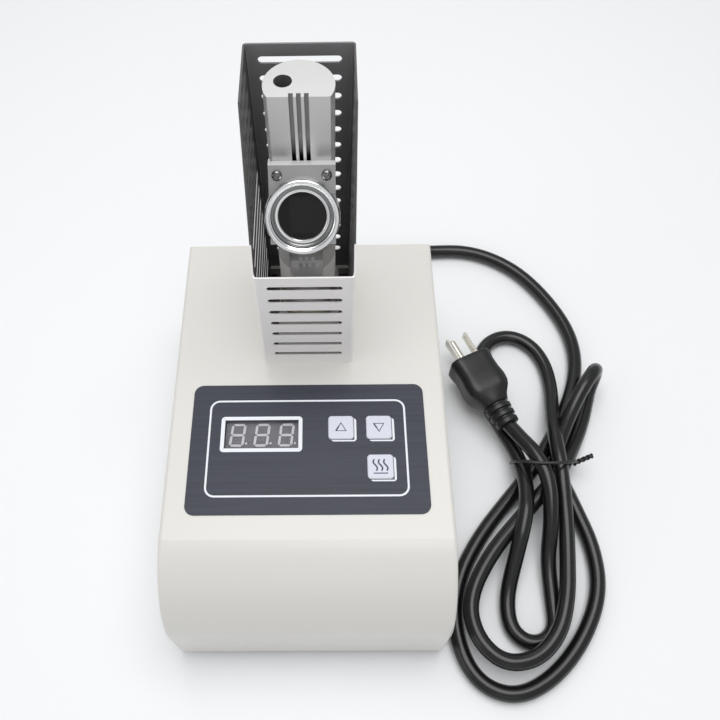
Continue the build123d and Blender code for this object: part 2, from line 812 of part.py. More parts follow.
transformer_x = -20.0
with BuildPart() as transformer_core:
    with BuildSketch(Plane.XZ.offset(-power_board_y - transformer_length / 4)):
        with Locations((transformer_x, power_top + transformer_height / 2)):
            Rectangle(transformer_width, transformer_height)
            with GridLocations(transformer_width / 2, 0, 2, 1):
                Rectangle(transformer_width / 5, transformer_height * 0.62, mode=Mode.SUBTRACT)
    extrude(amount=transformer_length / 2)
keep(transformer_core, "transformer_core")

coil_half = transformer_width / 4 + transformer_width / 10 - 0.3
limb_half = transformer_width / 4 - transformer_width / 10 + 0.2
with BuildPart() as transformer_coil:
    with BuildSketch(Plane.XY.offset(power_top + transformer_height * 0.19 + 0.3)):
        with Locations((transformer_x, power_board_y)):
            RectangleRounded(2 * coil_half, transformer_length - 2.0, 3.0)
            Rectangle(2 * limb_half, transformer_length / 2 + 0.4, mode=Mode.SUBTRACT)
    extrude(amount=transformer_height * 0.62 - 0.6)
keep(transformer_coil, "transformer_coil")

with BuildPart() as heat_sink:
    with BuildSketch(Plane.XY.offset(power_top)):
        with Locations((20.0, power_board_y + 12.0)):
            Rectangle(24.0, 3.0)
            with Locations((0, 6.0)):
                with GridLocations(4.5, 0, 5, 1):
                    Rectangle(1.4, 10.0)
    extrude(amount=22.0)
keep(heat_sink, "heat_sink")

with BuildPart() as power_triac:
    with BuildSketch(Plane.XY.offset(power_top)):
        with Locations((20.0, power_board_y + 12.0 - 1.5 - 2.25)):
            Rectangle(10.0, 4.5)
    extrude(amount=18.0)
keep(power_triac, "power_triac")

with BuildPart() as terminal_block:
    with BuildSketch(Plane.XY.offset(power_top)):
        with Locations((20.0, power_board_y - 20.0)):
            Rectangle(30.0, 10.0)
    extrude(amount=12.0)
    with BuildSketch(Plane.XY.offset(power_top + 12.0)):
        with Locations((20.0, power_board_y - 20.0)):
            with GridLocations(7.5, 0, 4, 1):
                Circle(2.2)
    extrude(amount=-5.0, mode=Mode.SUBTRACT)
keep(terminal_block, "terminal_block")


def rear_facing(x, y, z):
    """A plane at the point that looks out of the rear."""
    return Plane(origin=(x, y, z), x_dir=(-1, 0, 0), z_dir=(0, 1, 0))


# Mains switch
rocker_gap = 0.4
rocker_axis_y = rear_y + 0.5
rocker_floor_y = rear_y - 11.0
with BuildPart() as switch_housing:
    with BuildSketch(rear_facing(switch_x, rear_y, switch_z)):
        Rectangle(switch_bezel_width, switch_bezel_height)
    extrude(amount=switch_bezel_depth)
    with BuildSketch(rear_facing(switch_x, rear_y, switch_z)):
        Rectangle(switch_cutout_width, switch_cutout_height)
    extrude(amount=-switch_depth)
    with BuildSketch(rear_facing(switch_x, rocker_floor_y, switch_z)):
        Rectangle(rocker_width + 2 * rocker_gap, rocker_height + 2 * rocker_gap)
    extrude(amount=rear_y + switch_bezel_depth - rocker_floor_y, mode=Mode.SUBTRACT)
    for side in (-1, 1):
        with BuildSketch(Plane.YZ.offset(switch_x + side * (rocker_width / 2 + rocker_gap))):
            with Locations((rocker_axis_y, switch_z)):
                Circle(1.2)
        extrude(amount=-side * 1.6)
    for k in (-1, 1):
        with BuildSketch(rear_facing(switch_x, rear_y - switch_depth, switch_z + k * 5.0)):
            Rectangle(6.3, 0.8)
        extrude(amount=-9.0)
keep(switch_housing, "switch_housing")

rocker_half = rocker_height / 2 - 0.3
rocker_lift = rear_proud + rear_y - rocker_axis_y
rest_lean = rocker_swing / 2
with BuildPart() as power_rocker:
    with BuildSketch(Plane.YZ):
        with BuildLine():
            Polyline(
                (rocker_axis_y - 4.5, switch_z - 3.0),
                (rocker_axis_y - 4.5, switch_z + 3.0),
                (rocker_axis_y - 1.0, switch_z + rocker_half - 0.6),
                (rocker_axis_y + 2.2, switch_z + rocker_half - 0.6),
            )
            ThreePointArc(
                (rocker_axis_y + 2.2, switch_z + rocker_half - 0.6),
                (rocker_axis_y + 1.9, switch_z),
                (rocker_axis_y + 5.0, switch_z - rocker_half + 0.9),
            )
            Polyline(
                (rocker_axis_y + 5.0, switch_z - rocker_half + 0.9),
                (rocker_axis_y - 1.0, switch_z - rocker_half + 0.6),
                (rocker_axis_y - 4.5, switch_z - 3.0),
            )
        make_face()
    extrude(amount=rocker_width / 2, both=True)
    with BuildSketch(Plane.YZ.offset(-rocker_width)):
        with Locations((rocker_axis_y, switch_z)):
            Circle(1.25)
    extrude(amount=2 * rocker_width, mode=Mode.SUBTRACT)
power_rocker.part = power_rocker.part.moved(Location((switch_x, 0, 0)))
keep(power_rocker, "power_rocker")

# Fuse holder
with BuildPart() as fuse_holder:
    with BuildSketch(rear_facing(fuse_x, rear_y, fuse_z)):
        Circle(fuse_flange_diameter / 2)
    extrude(amount=2.0)
    with BuildSketch(rear_facing(fuse_x, rear_y, fuse_z)):
        Circle(fuse_body_diameter / 2)
    extrude(amount=-fuse_depth)
    with BuildSketch(rear_facing(fuse_x, rear_y + 2.0, fuse_z)):
        Circle(4.2)
    extrude(amount=-fuse_depth + 1.0, mode=Mode.SUBTRACT)
    with BuildSketch(rear_facing(fuse_x, rear_y - fuse_depth, fuse_z)):
        Rectangle(4.8, 0.8)
    extrude(amount=-8.0)
keep(fuse_holder, "fuse_holder")

with BuildPart() as fuse_nut:
    with BuildSketch(rear_facing(fuse_x, panel_front_y, fuse_z)):
        RegularPolygon(9.0, 6)
        Circle(fuse_body_diameter / 2 + pin_clearance, mode=Mode.SUBTRACT)
    extrude(amount=-3.0)
keep(fuse_nut, "fuse_nut")

with BuildPart() as fuse_cap:
    with BuildSketch(rear_facing(fuse_x, rear_y + 2.05, fuse_z)):
        Circle(fuse_cap_diameter / 2)
    extrude(amount=rear_proud - 2.05)
    chamfer(fuse_cap.faces().sort_by(Axis.Y)[-1].edges(), 0.8)
    with BuildSketch(rear_facing(fuse_x, rear_y + rear_proud, fuse_z)):
        Rectangle(9.0, 1.6)
    extrude(amount=-1.8, mode=Mode.SUBTRACT)
    with BuildSketch(rear_facing(fuse_x, rear_y + 2.05, fuse_z)):
        Circle(4.12)
    extrude(amount=-4.0)
keep(fuse_cap, "fuse_cap")

with BuildPart() as fuse:
    with BuildSketch(rear_facing(fuse_x, rear_y - 2.3, fuse_z)):
        Circle(2.6)
    extrude(amount=-20.0)
keep(fuse, "fuse")

# Strain relief of the cord
with BuildPart() as strain_relief:
    with BuildSketch(rear_facing(relief_x, rear_y, relief_z)):
        Circle(relief_flange_diameter / 2)
    extrude(amount=2.0)
    with BuildSketch(rear_facing(relief_x, rear_y - panel_thickness - 4.0, relief_z)):
        Circle(relief_shank_diameter / 2)
    extrude(amount=panel_thickness + 4.0)
    with BuildSketch(rear_facing(relief_x, rear_y + 2.0, relief_z)):
        Circle(13.6 / 2)
    with BuildSketch(rear_facing(relief_x, rear_y + relief_length, relief_z)):
        Circle(10.6 / 2)
    loft()
    for k in range(4):
        with BuildSketch(rear_facing(relief_x, rear_y + 5.0 + k * 3.6, relief_z)):
            Circle(9.0)
            Circle(5.0, mode=Mode.SUBTRACT)
            Rectangle(20.0, 3.0, mode=Mode.SUBTRACT)
        extrude(amount=1.3, mode=Mode.SUBTRACT)
keep(strain_relief, "strain_relief")

# Cord: the run from the strain relief to the tied bundle, along the floor
lead_z = cord_diameter / 2 + 0.1
lead_end_x = 176.5
lead_end_y = 69.0
lead_route = [
    (relief_x, rear_y + relief_length, relief_z),
    (relief_x, 135.5, relief_z),
    (31.5, 148.0, 21.0),
    (40.0, 158.0, 16.0),
    (53.0, 164.0, 10.5),
    (69.0, 166.0, 6.5),
    (88.5, 167.5, lead_z),
    (110.0, 165.5, lead_z),
    (129.5, 158.5, lead_z),
    (147.5, 145.0, lead_z),
    (164.0, 122.5, lead_z),
    (lead_end_x, 94.5, lead_z),
    (lead_end_x, lead_end_y, lead_z),
]


def arc_radii(route):
    """The radius of the arc at each corner, as large as the two runs beside it allow."""
    points = [Vector(*p) for p in route]
    radii = []
    for before, here, after in zip(points, points[1:], points[2:]):
        turn = (here - before).get_angle(after - here)
        run = min((here - before).length, (after - here).length)
        radii.append(0.45 * run / math.tan(math.radians(turn / 2)))
    return radii


with BuildPart() as cord_lead:
    lead_radii = arc_radii(lead_route)
    with BuildLine() as lead_path:
        FilletPolyline(*lead_route, radius=lead_radii)
    with BuildSketch(Plane(origin=lead_path.wire() @ 0, z_dir=lead_path.wire() % 0)):
        Circle(cord_diameter / 2)
    sweep(path=lead_path.wire())
print("lead radii", [round(r, 1) for r in lead_radii], "length", round(lead_path.wire().length, 1))
print("lead volume share", round(cord_lead.part.volume / (lead_path.wire().length * math.pi * cord_diameter**2 / 4), 4))
keep(cord_lead, "cord_lead")

# Cord: the outer shape of the tied bundle, with its open loops below the tie and the folds above it
neck_x = 138.0
neck_y = 0.0
neck_width = 34.0
neck_height = 24.0
neck_length = 44.0
tie_wire = 1.3
tie_length = 3.0
loop_width = 22.0
loops_route = [
    (neck_x - 6.0, neck_y - 12.0),
    (107.0, -36.0),
    (92.0, -62.0),
    (87.0, -92.0),
    (99.0, -120.0),
    (124.0, -124.0),
    (147.0, -108.0),
    (158.0, -82.0),
    (155.0, -52.0),
    (neck_x + 6.0, neck_y - 12.0),
]
fold_route = [(neck_x + 8.0, neck_y + 10.0), (166.0, 32.0), (lead_end_x, 52.0), (lead_end_x, lead_end_y)]
fold_width = 21.0
arch_route = [
    (neck_x + 10.0, neck_y + 12.0),
    (158.0, 38.0),
    (155.0, 66.0),
    (140.0, 86.0),
    (122.0, 84.0),
    (111.0, 64.0),
    (112.0, 40.0),
    (122.0, 18.0),
    (neck_x - 8.0, neck_y + 4.0),
]
with BuildPart() as cord_bundle:
    for route, width, layers in (
        (loops_route, loop_width, 2),
        (fold_route, fold_width, 2),
        (arch_route, cord_diameter, 1),
    ):
        with BuildSketch(Plane.XY):
            for (x0, y0), (x1, y1) in zip(route, route[1:]):
                with Locations(((x0 + x1) / 2, (y0 + y1) / 2)):
                    SlotCenterToCenter(
                        math.hypot(x1 - x0, y1 - y0),
                        width,
                        rotation=math.degrees(math.atan2(y1 - y0, x1 - x0)),
                    )
            with Locations((lead_end_x, lead_end_y + fold_width / 2)):
                Rectangle(fold_width + 2, fold_width, mode=Mode.SUBTRACT)
        extrude(amount=layers * bundle_layer)
    with BuildSketch(Plane.XZ.offset(-neck_y - neck_length / 2)):
        with Locations((neck_x, tie_wire + 0.3 + neck_height / 2)):
            RectangleRounded(neck_width, neck_height, neck_height / 2 - 2)
    extrude(amount=neck_length)
    with BuildSketch(Plane.XZ.offset(-neck_y - tie_length / 2 - 0.3)):
        with Locations((neck_x, tie_wire + 0.3 + neck_height / 2)):
            RectangleRounded(3 * neck_width, 3 * neck_height, 5.0)
            RectangleRounded(neck_width, neck_height, neck_height / 2 - 2, mode=Mode.SUBTRACT)
    extrude(amount=tie_length + 0.6, mode=Mode.SUBTRACT)
keep(cord_bundle, "cord_bundle")

with BuildPart() as cord_tie:
    with BuildSketch(Plane.XZ.offset(-neck_y - tie_length / 2)):
        with Locations((neck_x, tie_wire + 0.3 + neck_height / 2)):
            tie_gap = 0.3
            RectangleRounded(neck_width + 2 * (tie_gap + tie_wire), neck_height + 2 * (tie_gap + tie_wire),
                             neck_height / 2)
            RectangleRounded(neck_width + 2 * tie_gap, neck_height + 2 * tie_gap,
                             neck_height / 2 - 1.7, mode=Mode.SUBTRACT)
    extrude(amount=tie_length)
    tail_z = tie_wire + 0.3 + neck_height * 0.75
    with BuildSketch(Plane.YZ.offset(neck_x + neck_width / 2)):
        with Locations((neck_y, tail_z)):
            Circle(1.2)
    extrude(amount=14.0)
keep(cord_tie, "cord_tie")

# Plug: it lies on the bundle, its blades towards the cabinet's rear corner
plug_end = Vector(121.0, 17.0, 20.5)
plug_heading = Vector(-0.42, 0.9075, 0.02).normalized()
plug_across = Vector(0.9075, 0.42, 0).normalized()
relief_run = 19.0
shoulder_run = 14.0
head_run = 16.0
blade_length = 17.0
pin_length = 20.0
blade_spacing = 12.7


def plug_plane(distance):
    """A plane across the plug's axis, at a distance from its cord end; x is across, y is down."""
    return Plane(
        origin=plug_end + plug_heading * distance,
        x_dir=plug_across,
        z_dir=plug_heading,
    )


with BuildPart() as plug_body:
    with BuildSketch(plug_plane(0)):
        Circle(6.2)
    with BuildSketch(plug_plane(relief_run)):
        Circle(7.0)
    loft()
    with BuildSketch(plug_plane(relief_run)):
        RectangleRounded(16.0, 15.0, 6.0)
    with BuildSketch(plug_plane(relief_run + shoulder_run)):
        RectangleRounded(25.0, 21.0, 8.0)
    loft()
    with BuildSketch(plug_plane(relief_run + shoulder_run)):
        RectangleRounded(25.0, 21.0, 8.0)
    extrude(amount=head_run)
    for k in range(3):
        with BuildSketch(plug_plane(3.5 + k * 5.0)):
            Circle(9.0)
            Circle(5.2, mode=Mode.SUBTRACT)
            Rectangle(3.2, 20.0, mode=Mode.SUBTRACT)
        extrude(amount=2.0, mode=Mode.SUBTRACT)
keep(plug_body, "plug_body")

face_station = relief_run + shoulder_run + head_run
side_sign = 1 if plug_plane(0).y_dir.Z > 0 else -1
with BuildPart() as plug_blades:
    for side in (-1, 1):
        with BuildSketch(plug_plane(face_station)):
            with Locations((side * blade_spacing / 2, side_sign * 3.0)):
                Rectangle(1.5, 6.3)
        extrude(amount=blade_length)
keep(plug_blades, "plug_blades")

with BuildPart() as plug_ground_pin:
    with BuildSketch(plug_plane(face_station)):
        with Locations((0, side_sign * -6.0)):
            Circle(2.4)
    extrude(amount=pin_length)
    fillet(plug_ground_pin.faces().sort_by(Axis(plug_end, plug_heading))[-1].edges(), 1.6)
keep(plug_ground_pin, "plug_ground_pin")

print(len(pieces), "pieces")
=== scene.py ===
"""Melting point apparatus: finishes, print, digits, rings, screws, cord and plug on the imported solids."""

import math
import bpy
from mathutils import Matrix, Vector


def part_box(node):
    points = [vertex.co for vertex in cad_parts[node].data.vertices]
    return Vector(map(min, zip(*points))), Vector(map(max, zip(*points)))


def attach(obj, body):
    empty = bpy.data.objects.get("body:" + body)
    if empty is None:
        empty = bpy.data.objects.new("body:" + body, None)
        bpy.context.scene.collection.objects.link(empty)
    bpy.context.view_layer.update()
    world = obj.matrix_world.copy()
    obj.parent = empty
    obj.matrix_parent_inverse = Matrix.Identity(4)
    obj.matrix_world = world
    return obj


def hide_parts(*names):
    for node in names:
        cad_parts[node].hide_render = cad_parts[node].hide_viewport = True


bl_info = {
    "name": "Melting Point Apparatus",
    "version": (1, 0, 0),
    "blender": (4, 5, 0),
    "location": "3D View > Sidebar > Apparatus",
    "description": "Dresses the melting point apparatus and sets up its studio",
    "category": "Object",
}

import bpy
from mathutils import Matrix, Vector

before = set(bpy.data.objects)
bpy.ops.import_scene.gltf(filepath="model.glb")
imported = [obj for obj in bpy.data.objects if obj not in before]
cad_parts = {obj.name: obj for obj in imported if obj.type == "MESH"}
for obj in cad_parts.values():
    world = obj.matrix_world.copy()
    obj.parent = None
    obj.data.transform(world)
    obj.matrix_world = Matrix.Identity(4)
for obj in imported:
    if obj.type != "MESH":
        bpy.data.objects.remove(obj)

MM = 0.001


def mm(*values):
    """Millimetres to metres."""
    return Vector([v * MM for v in values])


def middle_of(low, high):
    return (low + high) / 2


# Places that come from the solids
OVERLAY_LOW, OVERLAY_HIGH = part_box("overlay_panel")
WINDOW_LOW, WINDOW_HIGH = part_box("display_window")
MODULE_LOW, MODULE_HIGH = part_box("display_module")
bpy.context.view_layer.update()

# Sizes of the solids that their boxes don't give
KEY_SIDE = 13.2 * MM  # a key cap's top face, without the flange under the film
GUARD_CORNER = 2.0 * MM  # outer radius of the guard's bends
WINDOW_EDGE = 2.0 * MM  # what the film covers of the display window on each side

# The lens plate's back leans on the bar's flat; its places count down from its top edge, in millimetres
TILT = math.radians(36.0)
LENS_AXIS = Vector((0, -math.cos(TILT), math.sin(TILT)))
SEAT_Y, SEAT_Z = 60.5, 200.0
PLATE_THICKNESS = 3.0
LENS_DROP = 22.0
LENS_SCREW_ACROSS, LENS_SCREW_DROP = 11.1, 4.6

# The guard's and the rear panel's screws, in millimetres
GUARD_SCREW_X, GUARD_SCREW_YS, GUARD_SCREW_Z = 20.0, (35.5, 79.0), 88.0
REAR_FACE = 105.0
PANEL_HEAD = 2.8 * MM  # radius of their heads

# Each key's icon is printed on its cap, in millimetres from the cap's middle
ARROW = [(-2.6, -2.0), (0.0, 2.5), (2.6, -2.0), (-2.6, -2.0), (-1.3, 0.25)]
WAVE = [(0.75 * math.sin(step * math.pi / 5) - 0.09 * step, -2.4 + 0.62 * step) for step in range(11)]
WAVE_SHIFTS = (-2.2, 0.45, 3.1)
HEAT_LINE = [(-3.6, -3.7), (3.6, -3.7)]

DIGIT_PITCH = 12.7 * MM

# Options that several properties share
COLOUR = {"subtype": "COLOR", "size": 3, "min": 0, "max": 1}
LENGTH = {"subtype": "DISTANCE", "unit": "LENGTH"}


class ApparatusCabinet(bpy.types.PropertyGroup):
    enamel: bpy.props.FloatVectorProperty(
        name="Enamel", description="Colour of the cabinet's paint", default=(0.715, 0.695, 0.655), **COLOUR)
    guard_enamel: bpy.props.FloatVectorProperty(
        name="Guard enamel", description="Colour of the guard's outside",
        default=(0.95, 0.92, 0.905), **COLOUR)
    # painted shade: the colour painted on the guard's inner faces, standing in for the shade inside the guard
    guard_inside_shade: bpy.props.FloatVectorProperty(
        name="Guard inside", description="Colour of the guard's inner faces",
        default=(0.125, 0.12, 0.122), **COLOUR)
    orange_peel: bpy.props.FloatProperty(
        name="Paint texture", description="Strength of the paint's fine ripple",
        min=0, max=1, default=0.12)


class ApparatusPanel(bpy.types.PropertyGroup):
    film: bpy.props.FloatVectorProperty(
        name="Film", description="Colour of the printed film", default=(0.024, 0.027, 0.046), **COLOUR)
    print_white: bpy.props.FloatVectorProperty(
        name="Print", description="Colour of the printed lines", default=(0.82, 0.84, 0.88), **COLOUR)
    line_width: bpy.props.FloatProperty(
        name="Line width", description="Width of the printed frame line",
        min=0.0003, max=0.003, default=0.0010, **LENGTH)
    digit_height: bpy.props.FloatProperty(
        name="Digit height", description="Height of one digit",
        min=0.008, max=0.015, default=0.0118, **LENGTH)


class ApparatusCord(bpy.types.PropertyGroup):
    diameter: bpy.props.FloatProperty(
        name="Cord diameter", description="Outer diameter of the mains cord",
        min=0.005, max=0.012, default=0.009, **LENGTH)
    jacket: bpy.props.FloatVectorProperty(
        name="Jacket", description="Colour of the cord's jacket", default=(0.008, 0.008, 0.008), **COLOUR)


class ApparatusStudio(bpy.types.PropertyGroup):
    daylight: bpy.props.FloatProperty(
        name="Surround", description="Strength of the even light from all round",
        min=0, max=3, default=0.50)
    key_power: bpy.props.FloatProperty(
        name="Soft box", description="Power that each lamp is a multiple of, in watts",
        min=0, max=100, default=2.6)
    floor_tone: bpy.props.FloatVectorProperty(
        name="Floor", description="Colour of the table top", default=(0.92, 0.925, 0.935), **COLOUR)


# Shared shader node groups, and the small nodes that they and the materials are made of

GROUPS = {}


def new_group(name, inputs, outputs):
    """A shared group with the named sockets; returns it with its input node and its output node."""
    group = bpy.data.node_groups.new(name, "ShaderNodeTree")
    for label, kind, value in inputs:
        socket = group.interface.new_socket(name=label, in_out="INPUT", socket_type="NodeSocket" + kind)
        socket.default_value = value
    for label, kind in outputs:
        group.interface.new_socket(name=label, in_out="OUTPUT", socket_type="NodeSocket" + kind)
    GROUPS[name] = group
    return group, group.nodes.new("NodeGroupInput"), group.nodes.new("NodeGroupOutput")


def group_node(tree, name, **values):
    """One of the shared groups placed in a material."""
    node = tree.nodes.new("ShaderNodeGroup")
    node.node_tree = GROUPS[name]
    for label, value in values.items():
        node.inputs[label].default_value = value
    return node


def link(tree, out_socket, in_socket):
    tree.links.new(out_socket, in_socket)


def math_node(tree, operation, first, second=0.0):
    """A Math node fed by sockets or plain numbers."""
    node = tree.nodes.new("ShaderNodeMath")
    node.operation = operation
    for index, value in enumerate((first, second)):
        if isinstance(value, (int, float)):
            node.inputs[index].default_value = value
        else:
            link(tree, value, node.inputs[index])
    return node.outputs[0]


def product(tree, first, *others):
    """Values multiplied together."""
    for other in others:
        first = math_node(tree, "MULTIPLY", first, other)
    return first


def above(tree, value, limit):
    """A mask of 1 where the value is greater than the limit."""
    return math_node(tree, "GREATER_THAN", value, limit)


def below(tree, value, limit):
    """A mask of 1 where the value is less than the limit."""
    return math_node(tree, "LESS_THAN", value, limit)


def vector_node(tree, operation, *sockets):
    """A Vector Math node fed by sockets."""
    node = tree.nodes.new("ShaderNodeVectorMath")
    node.operation = operation
    for socket, entry in zip(sockets, node.inputs):
        link(tree, socket, entry)
    return node.outputs["Value" if operation == "LENGTH" else "Vector"]


def object_place(tree):
    """The shaded point's place on the object."""
    return tree.nodes.new("ShaderNodeTexCoord").outputs["Object"]


def coordinates(tree):
    """The shaded point's x, y and z."""
    parts = tree.nodes.new("ShaderNodeSeparateXYZ")
    link(tree, object_place(tree), parts.inputs[0])
    return tuple(parts.outputs)


def noise_node(tree, place, scale, detail):
    """A Noise node fed by a place and a scale."""
    noise = tree.nodes.new("ShaderNodeTexNoise")
    noise.inputs["Detail"].default_value = detail
    link(tree, place, noise.inputs["Vector"])
    link(tree, scale, noise.inputs["Scale"])
    return noise


def tinted(tree, colour, value):
    """A colour made lighter or darker by a value."""
    tint = tree.nodes.new("ShaderNodeHueSaturation")
    link(tree, colour, tint.inputs["Color"])
    link(tree, value, tint.inputs["Value"])
    return tint.outputs["Color"]


def build_tone_group():
    """Soft, cloudy change of a colour and of its gloss."""
    group, start, end = new_group(
        "Soft Tone",
        [("Colour", "Color", (0.5, 0.5, 0.5, 1)), ("Scale", "Float", 20.0), ("Amount", "Float", 0.05),
         ("Roughness", "Float", 0.4)],
        [("Colour", "Color"), ("Roughness", "Float")],
    )
    cloud = noise_node(group, object_place(group), start.outputs["Scale"], 4.0)
    shift = math_node(group, "SUBTRACT", cloud.outputs["Fac"], 0.5)
    amount = product(group, shift, start.outputs["Amount"])
    colour = tinted(group, start.outputs["Colour"], math_node(group, "ADD", amount, 1.0))
    link(group, colour, end.inputs["Colour"])
    link(group, math_node(group, "ADD", start.outputs["Roughness"], amount), end.inputs["Roughness"])


def build_grain_group():
    """Fine speckle for a moulded or sprayed skin."""
    group, start, end = new_group(
        "Fine Grain", [("Scale", "Float", 900.0), ("Softness", "Float", 0.5)], [("Height", "Float")])
    speck = noise_node(group, object_place(group), start.outputs["Scale"], 2.0)
    link(group, start.outputs["Softness"], speck.inputs["Roughness"])
    link(group, speck.outputs["Fac"], end.inputs["Height"])


def build_stroke_group():
    """Tool marks drawn out along one direction."""
    group, start, end = new_group(
        "Tool Strokes",
        [("Stretch", "Vector", (1.0, 1.0, 0.02)), ("Scale", "Float", 1500.0)],
        [("Height", "Float")],
    )
    drawn_out = vector_node(group, "MULTIPLY", object_place(group), start.outputs["Stretch"])
    marks = noise_node(group, drawn_out, start.outputs["Scale"], 3.0)
    link(group, marks.outputs["Fac"], end.inputs["Height"])


def build_turned_group():
    """Rings left by a lathe, round an axis through a centre."""
    group, start, end = new_group(
        "Turned Rings",
        [("Centre", "Vector", (0, 0, 0)), ("Axis", "Vector", (0, 0, 1)), ("Pitch", "Float", 2500.0)],
        [("Height", "Float")],
    )
    away = vector_node(group, "SUBTRACT", object_place(group), start.outputs["Centre"])
    radius = vector_node(group, "LENGTH", vector_node(group, "CROSS_PRODUCT", away, start.outputs["Axis"]))
    wave = math_node(group, "SINE", product(group, radius, start.outputs["Pitch"]))
    link(group, wave, end.inputs["Height"])


# Materials

MATERIALS = {}


def new_material(name, colour, roughness, metallic=0.0, tone=0.05, tone_scale=25.0):
    """A Principled material whose colour and gloss vary softly; returns it with its tree and its shader."""
    material = bpy.data.materials.new(name)
    material.use_nodes = True
    tree = material.node_tree
    shader = tree.nodes["Principled BSDF"]
    shader.inputs["Metallic"].default_value = metallic
    soft = group_node(
        tree, "Soft Tone", Colour=(*colour, 1), Scale=tone_scale, Amount=tone, Roughness=roughness)
    link(tree, soft.outputs["Colour"], shader.inputs["Base Color"])
    link(tree, soft.outputs["Roughness"], shader.inputs["Roughness"])
    material.diffuse_color = (*colour, 1)
    return material, tree, shader


def soft_colour(shader):
    """The softly varied colour that feeds a new material's shader."""
    return shader.inputs["Base Color"].links[0].from_socket


def add_bump(tree, shader, pattern, strength, distance):
    """A pattern's height as a bump on the shader's normal."""
    bump = tree.nodes.new("ShaderNodeBump")
    bump.inputs["Strength"].default_value = strength
    bump.inputs["Distance"].default_value = distance
    link(tree, pattern.outputs["Height"], bump.inputs["Height"])
    link(tree, bump.outputs["Normal"], shader.inputs["Normal"])


def add_marks(tree, shader, stretch, strength=0.25):
    """A cutter's marks on a machined face."""
    marks = group_node(tree, "Tool Strokes", Stretch=stretch, Scale=1400.0)
    add_bump(tree, shader, marks, strength, 0.0001)


METAL = {"metallic": 1.0, "tone": 0.08, "tone_scale": 40.0}


def enamel_material(name, colour, texture):
    """Glossy paint with a faint ripple."""
    material, tree, shader = new_material(name, colour, 0.36, tone=0.035, tone_scale=9.0)
    shader.inputs["Coat Weight"].default_value = 0.25
    shader.inputs["Coat Roughness"].default_value = 0.22
    grain = group_node(tree, "Fine Grain", Scale=620.0, Softness=0.55)
    add_bump(tree, shader, grain, texture, 0.00025)
    return material


def guard_material(name, outside, inside):
    """Light enamel on the guard's outside, and painted shade on every face that looks inwards."""
    material, tree, shader = new_material(name, outside, 0.42, tone=0.04, tone_scale=14.0)
    low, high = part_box("guard")
    middle, half = middle_of(low, high), (high - low) / 2
    x, y, z = coordinates(tree)
    away_x = math_node(tree, "ABSOLUTE", math_node(tree, "SUBTRACT", x, middle.x))
    away_y = math_node(tree, "ABSOLUTE", math_node(tree, "SUBTRACT", y, middle.y))
    # how deep a point lies under the outer surface, which is a rectangle with rounded corners
    squares = []
    for away, reach in ((away_x, half.x), (away_y, half.y)):
        past = math_node(tree, "MAXIMUM", math_node(tree, "ADD", away, GUARD_CORNER - reach))
        squares.append(product(tree, past, past))
    outwards = math_node(tree, "SQRT", math_node(tree, "ADD", *squares))
    depth = math_node(tree, "SUBTRACT", GUARD_CORNER, outwards)
    # the painted shade begins close under the surface, and deeper round the front wall, whose cut edges are
    # left light
    shade_depth, light_edge, front_wall_top = 0.10 * MM, 0.75 * MM, 180 * MM
    deeper = product(tree, below(tree, z, front_wall_top), light_edge)
    painted_shade_mask = above(tree, depth, math_node(tree, "ADD", deeper, shade_depth))
    # the painted shade on the inner faces grows lighter upwards, as light falls in from above
    inner_shade_ramp = tree.nodes.new("ShaderNodeValToRGB")
    for element, position, gain in zip(inner_shade_ramp.color_ramp.elements, (0.25, 1.0), (0.85, 1.5)):
        element.position = position
        element.color = (*[c * gain for c in inside], 1)
    rise = product(tree, math_node(tree, "SUBTRACT", z, low.z), 1.0 / (high.z - low.z))
    link(tree, rise, inner_shade_ramp.inputs["Fac"])
    # the side walls' inner faces get darker painted shade than the back wall
    side_wall = 1.15 * MM
    side = above(tree, away_x, half.x - side_wall)
    value = math_node(tree, "SUBTRACT", 1.25, product(tree, side, 0.75))
    mix = tree.nodes.new("ShaderNodeMix")
    mix.data_type = "RGBA"
    link(tree, painted_shade_mask, mix.inputs["Factor"])
    link(tree, soft_colour(shader), mix.inputs["A"])
    link(tree, tinted(tree, inner_shade_ramp.outputs["Color"], value), mix.inputs["B"])
    link(tree, mix.outputs["Result"], shader.inputs["Base Color"])
    grain = group_node(tree, "Fine Grain", Scale=700.0, Softness=0.5)
    add_bump(tree, shader, grain, 0.1, 0.0002)
    return material


def machined_material(name, colour, roughness, stretch, strength=0.25):
    """Bare metal with a cutter's or a roller's marks."""
    material, tree, shader = new_material(name, colour, roughness, **METAL)
    add_marks(tree, shader, stretch, strength)
    return material


def plate_material(name, colour):
    """Machined aluminium whose narrow top edge is painted light, a painted highlight."""
    material, tree, shader = new_material(name, colour, 0.40, **METAL)
    z = coordinates(tree)[2]
    # painted highlight: the top edge is made twice as light and mostly not metallic
    top = above(tree, z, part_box("lens_plate")[1].z - 0.15 * MM)
    bright = tinted(tree, soft_colour(shader), math_node(tree, "ADD", top, 1.0))
    link(tree, bright, shader.inputs["Base Color"])
    link(tree, math_node(tree, "SUBTRACT", 1.0, product(tree, top, 0.8)), shader.inputs["Metallic"])
    add_marks(tree, shader, (0.03, 1.0, 1.0))
    return material


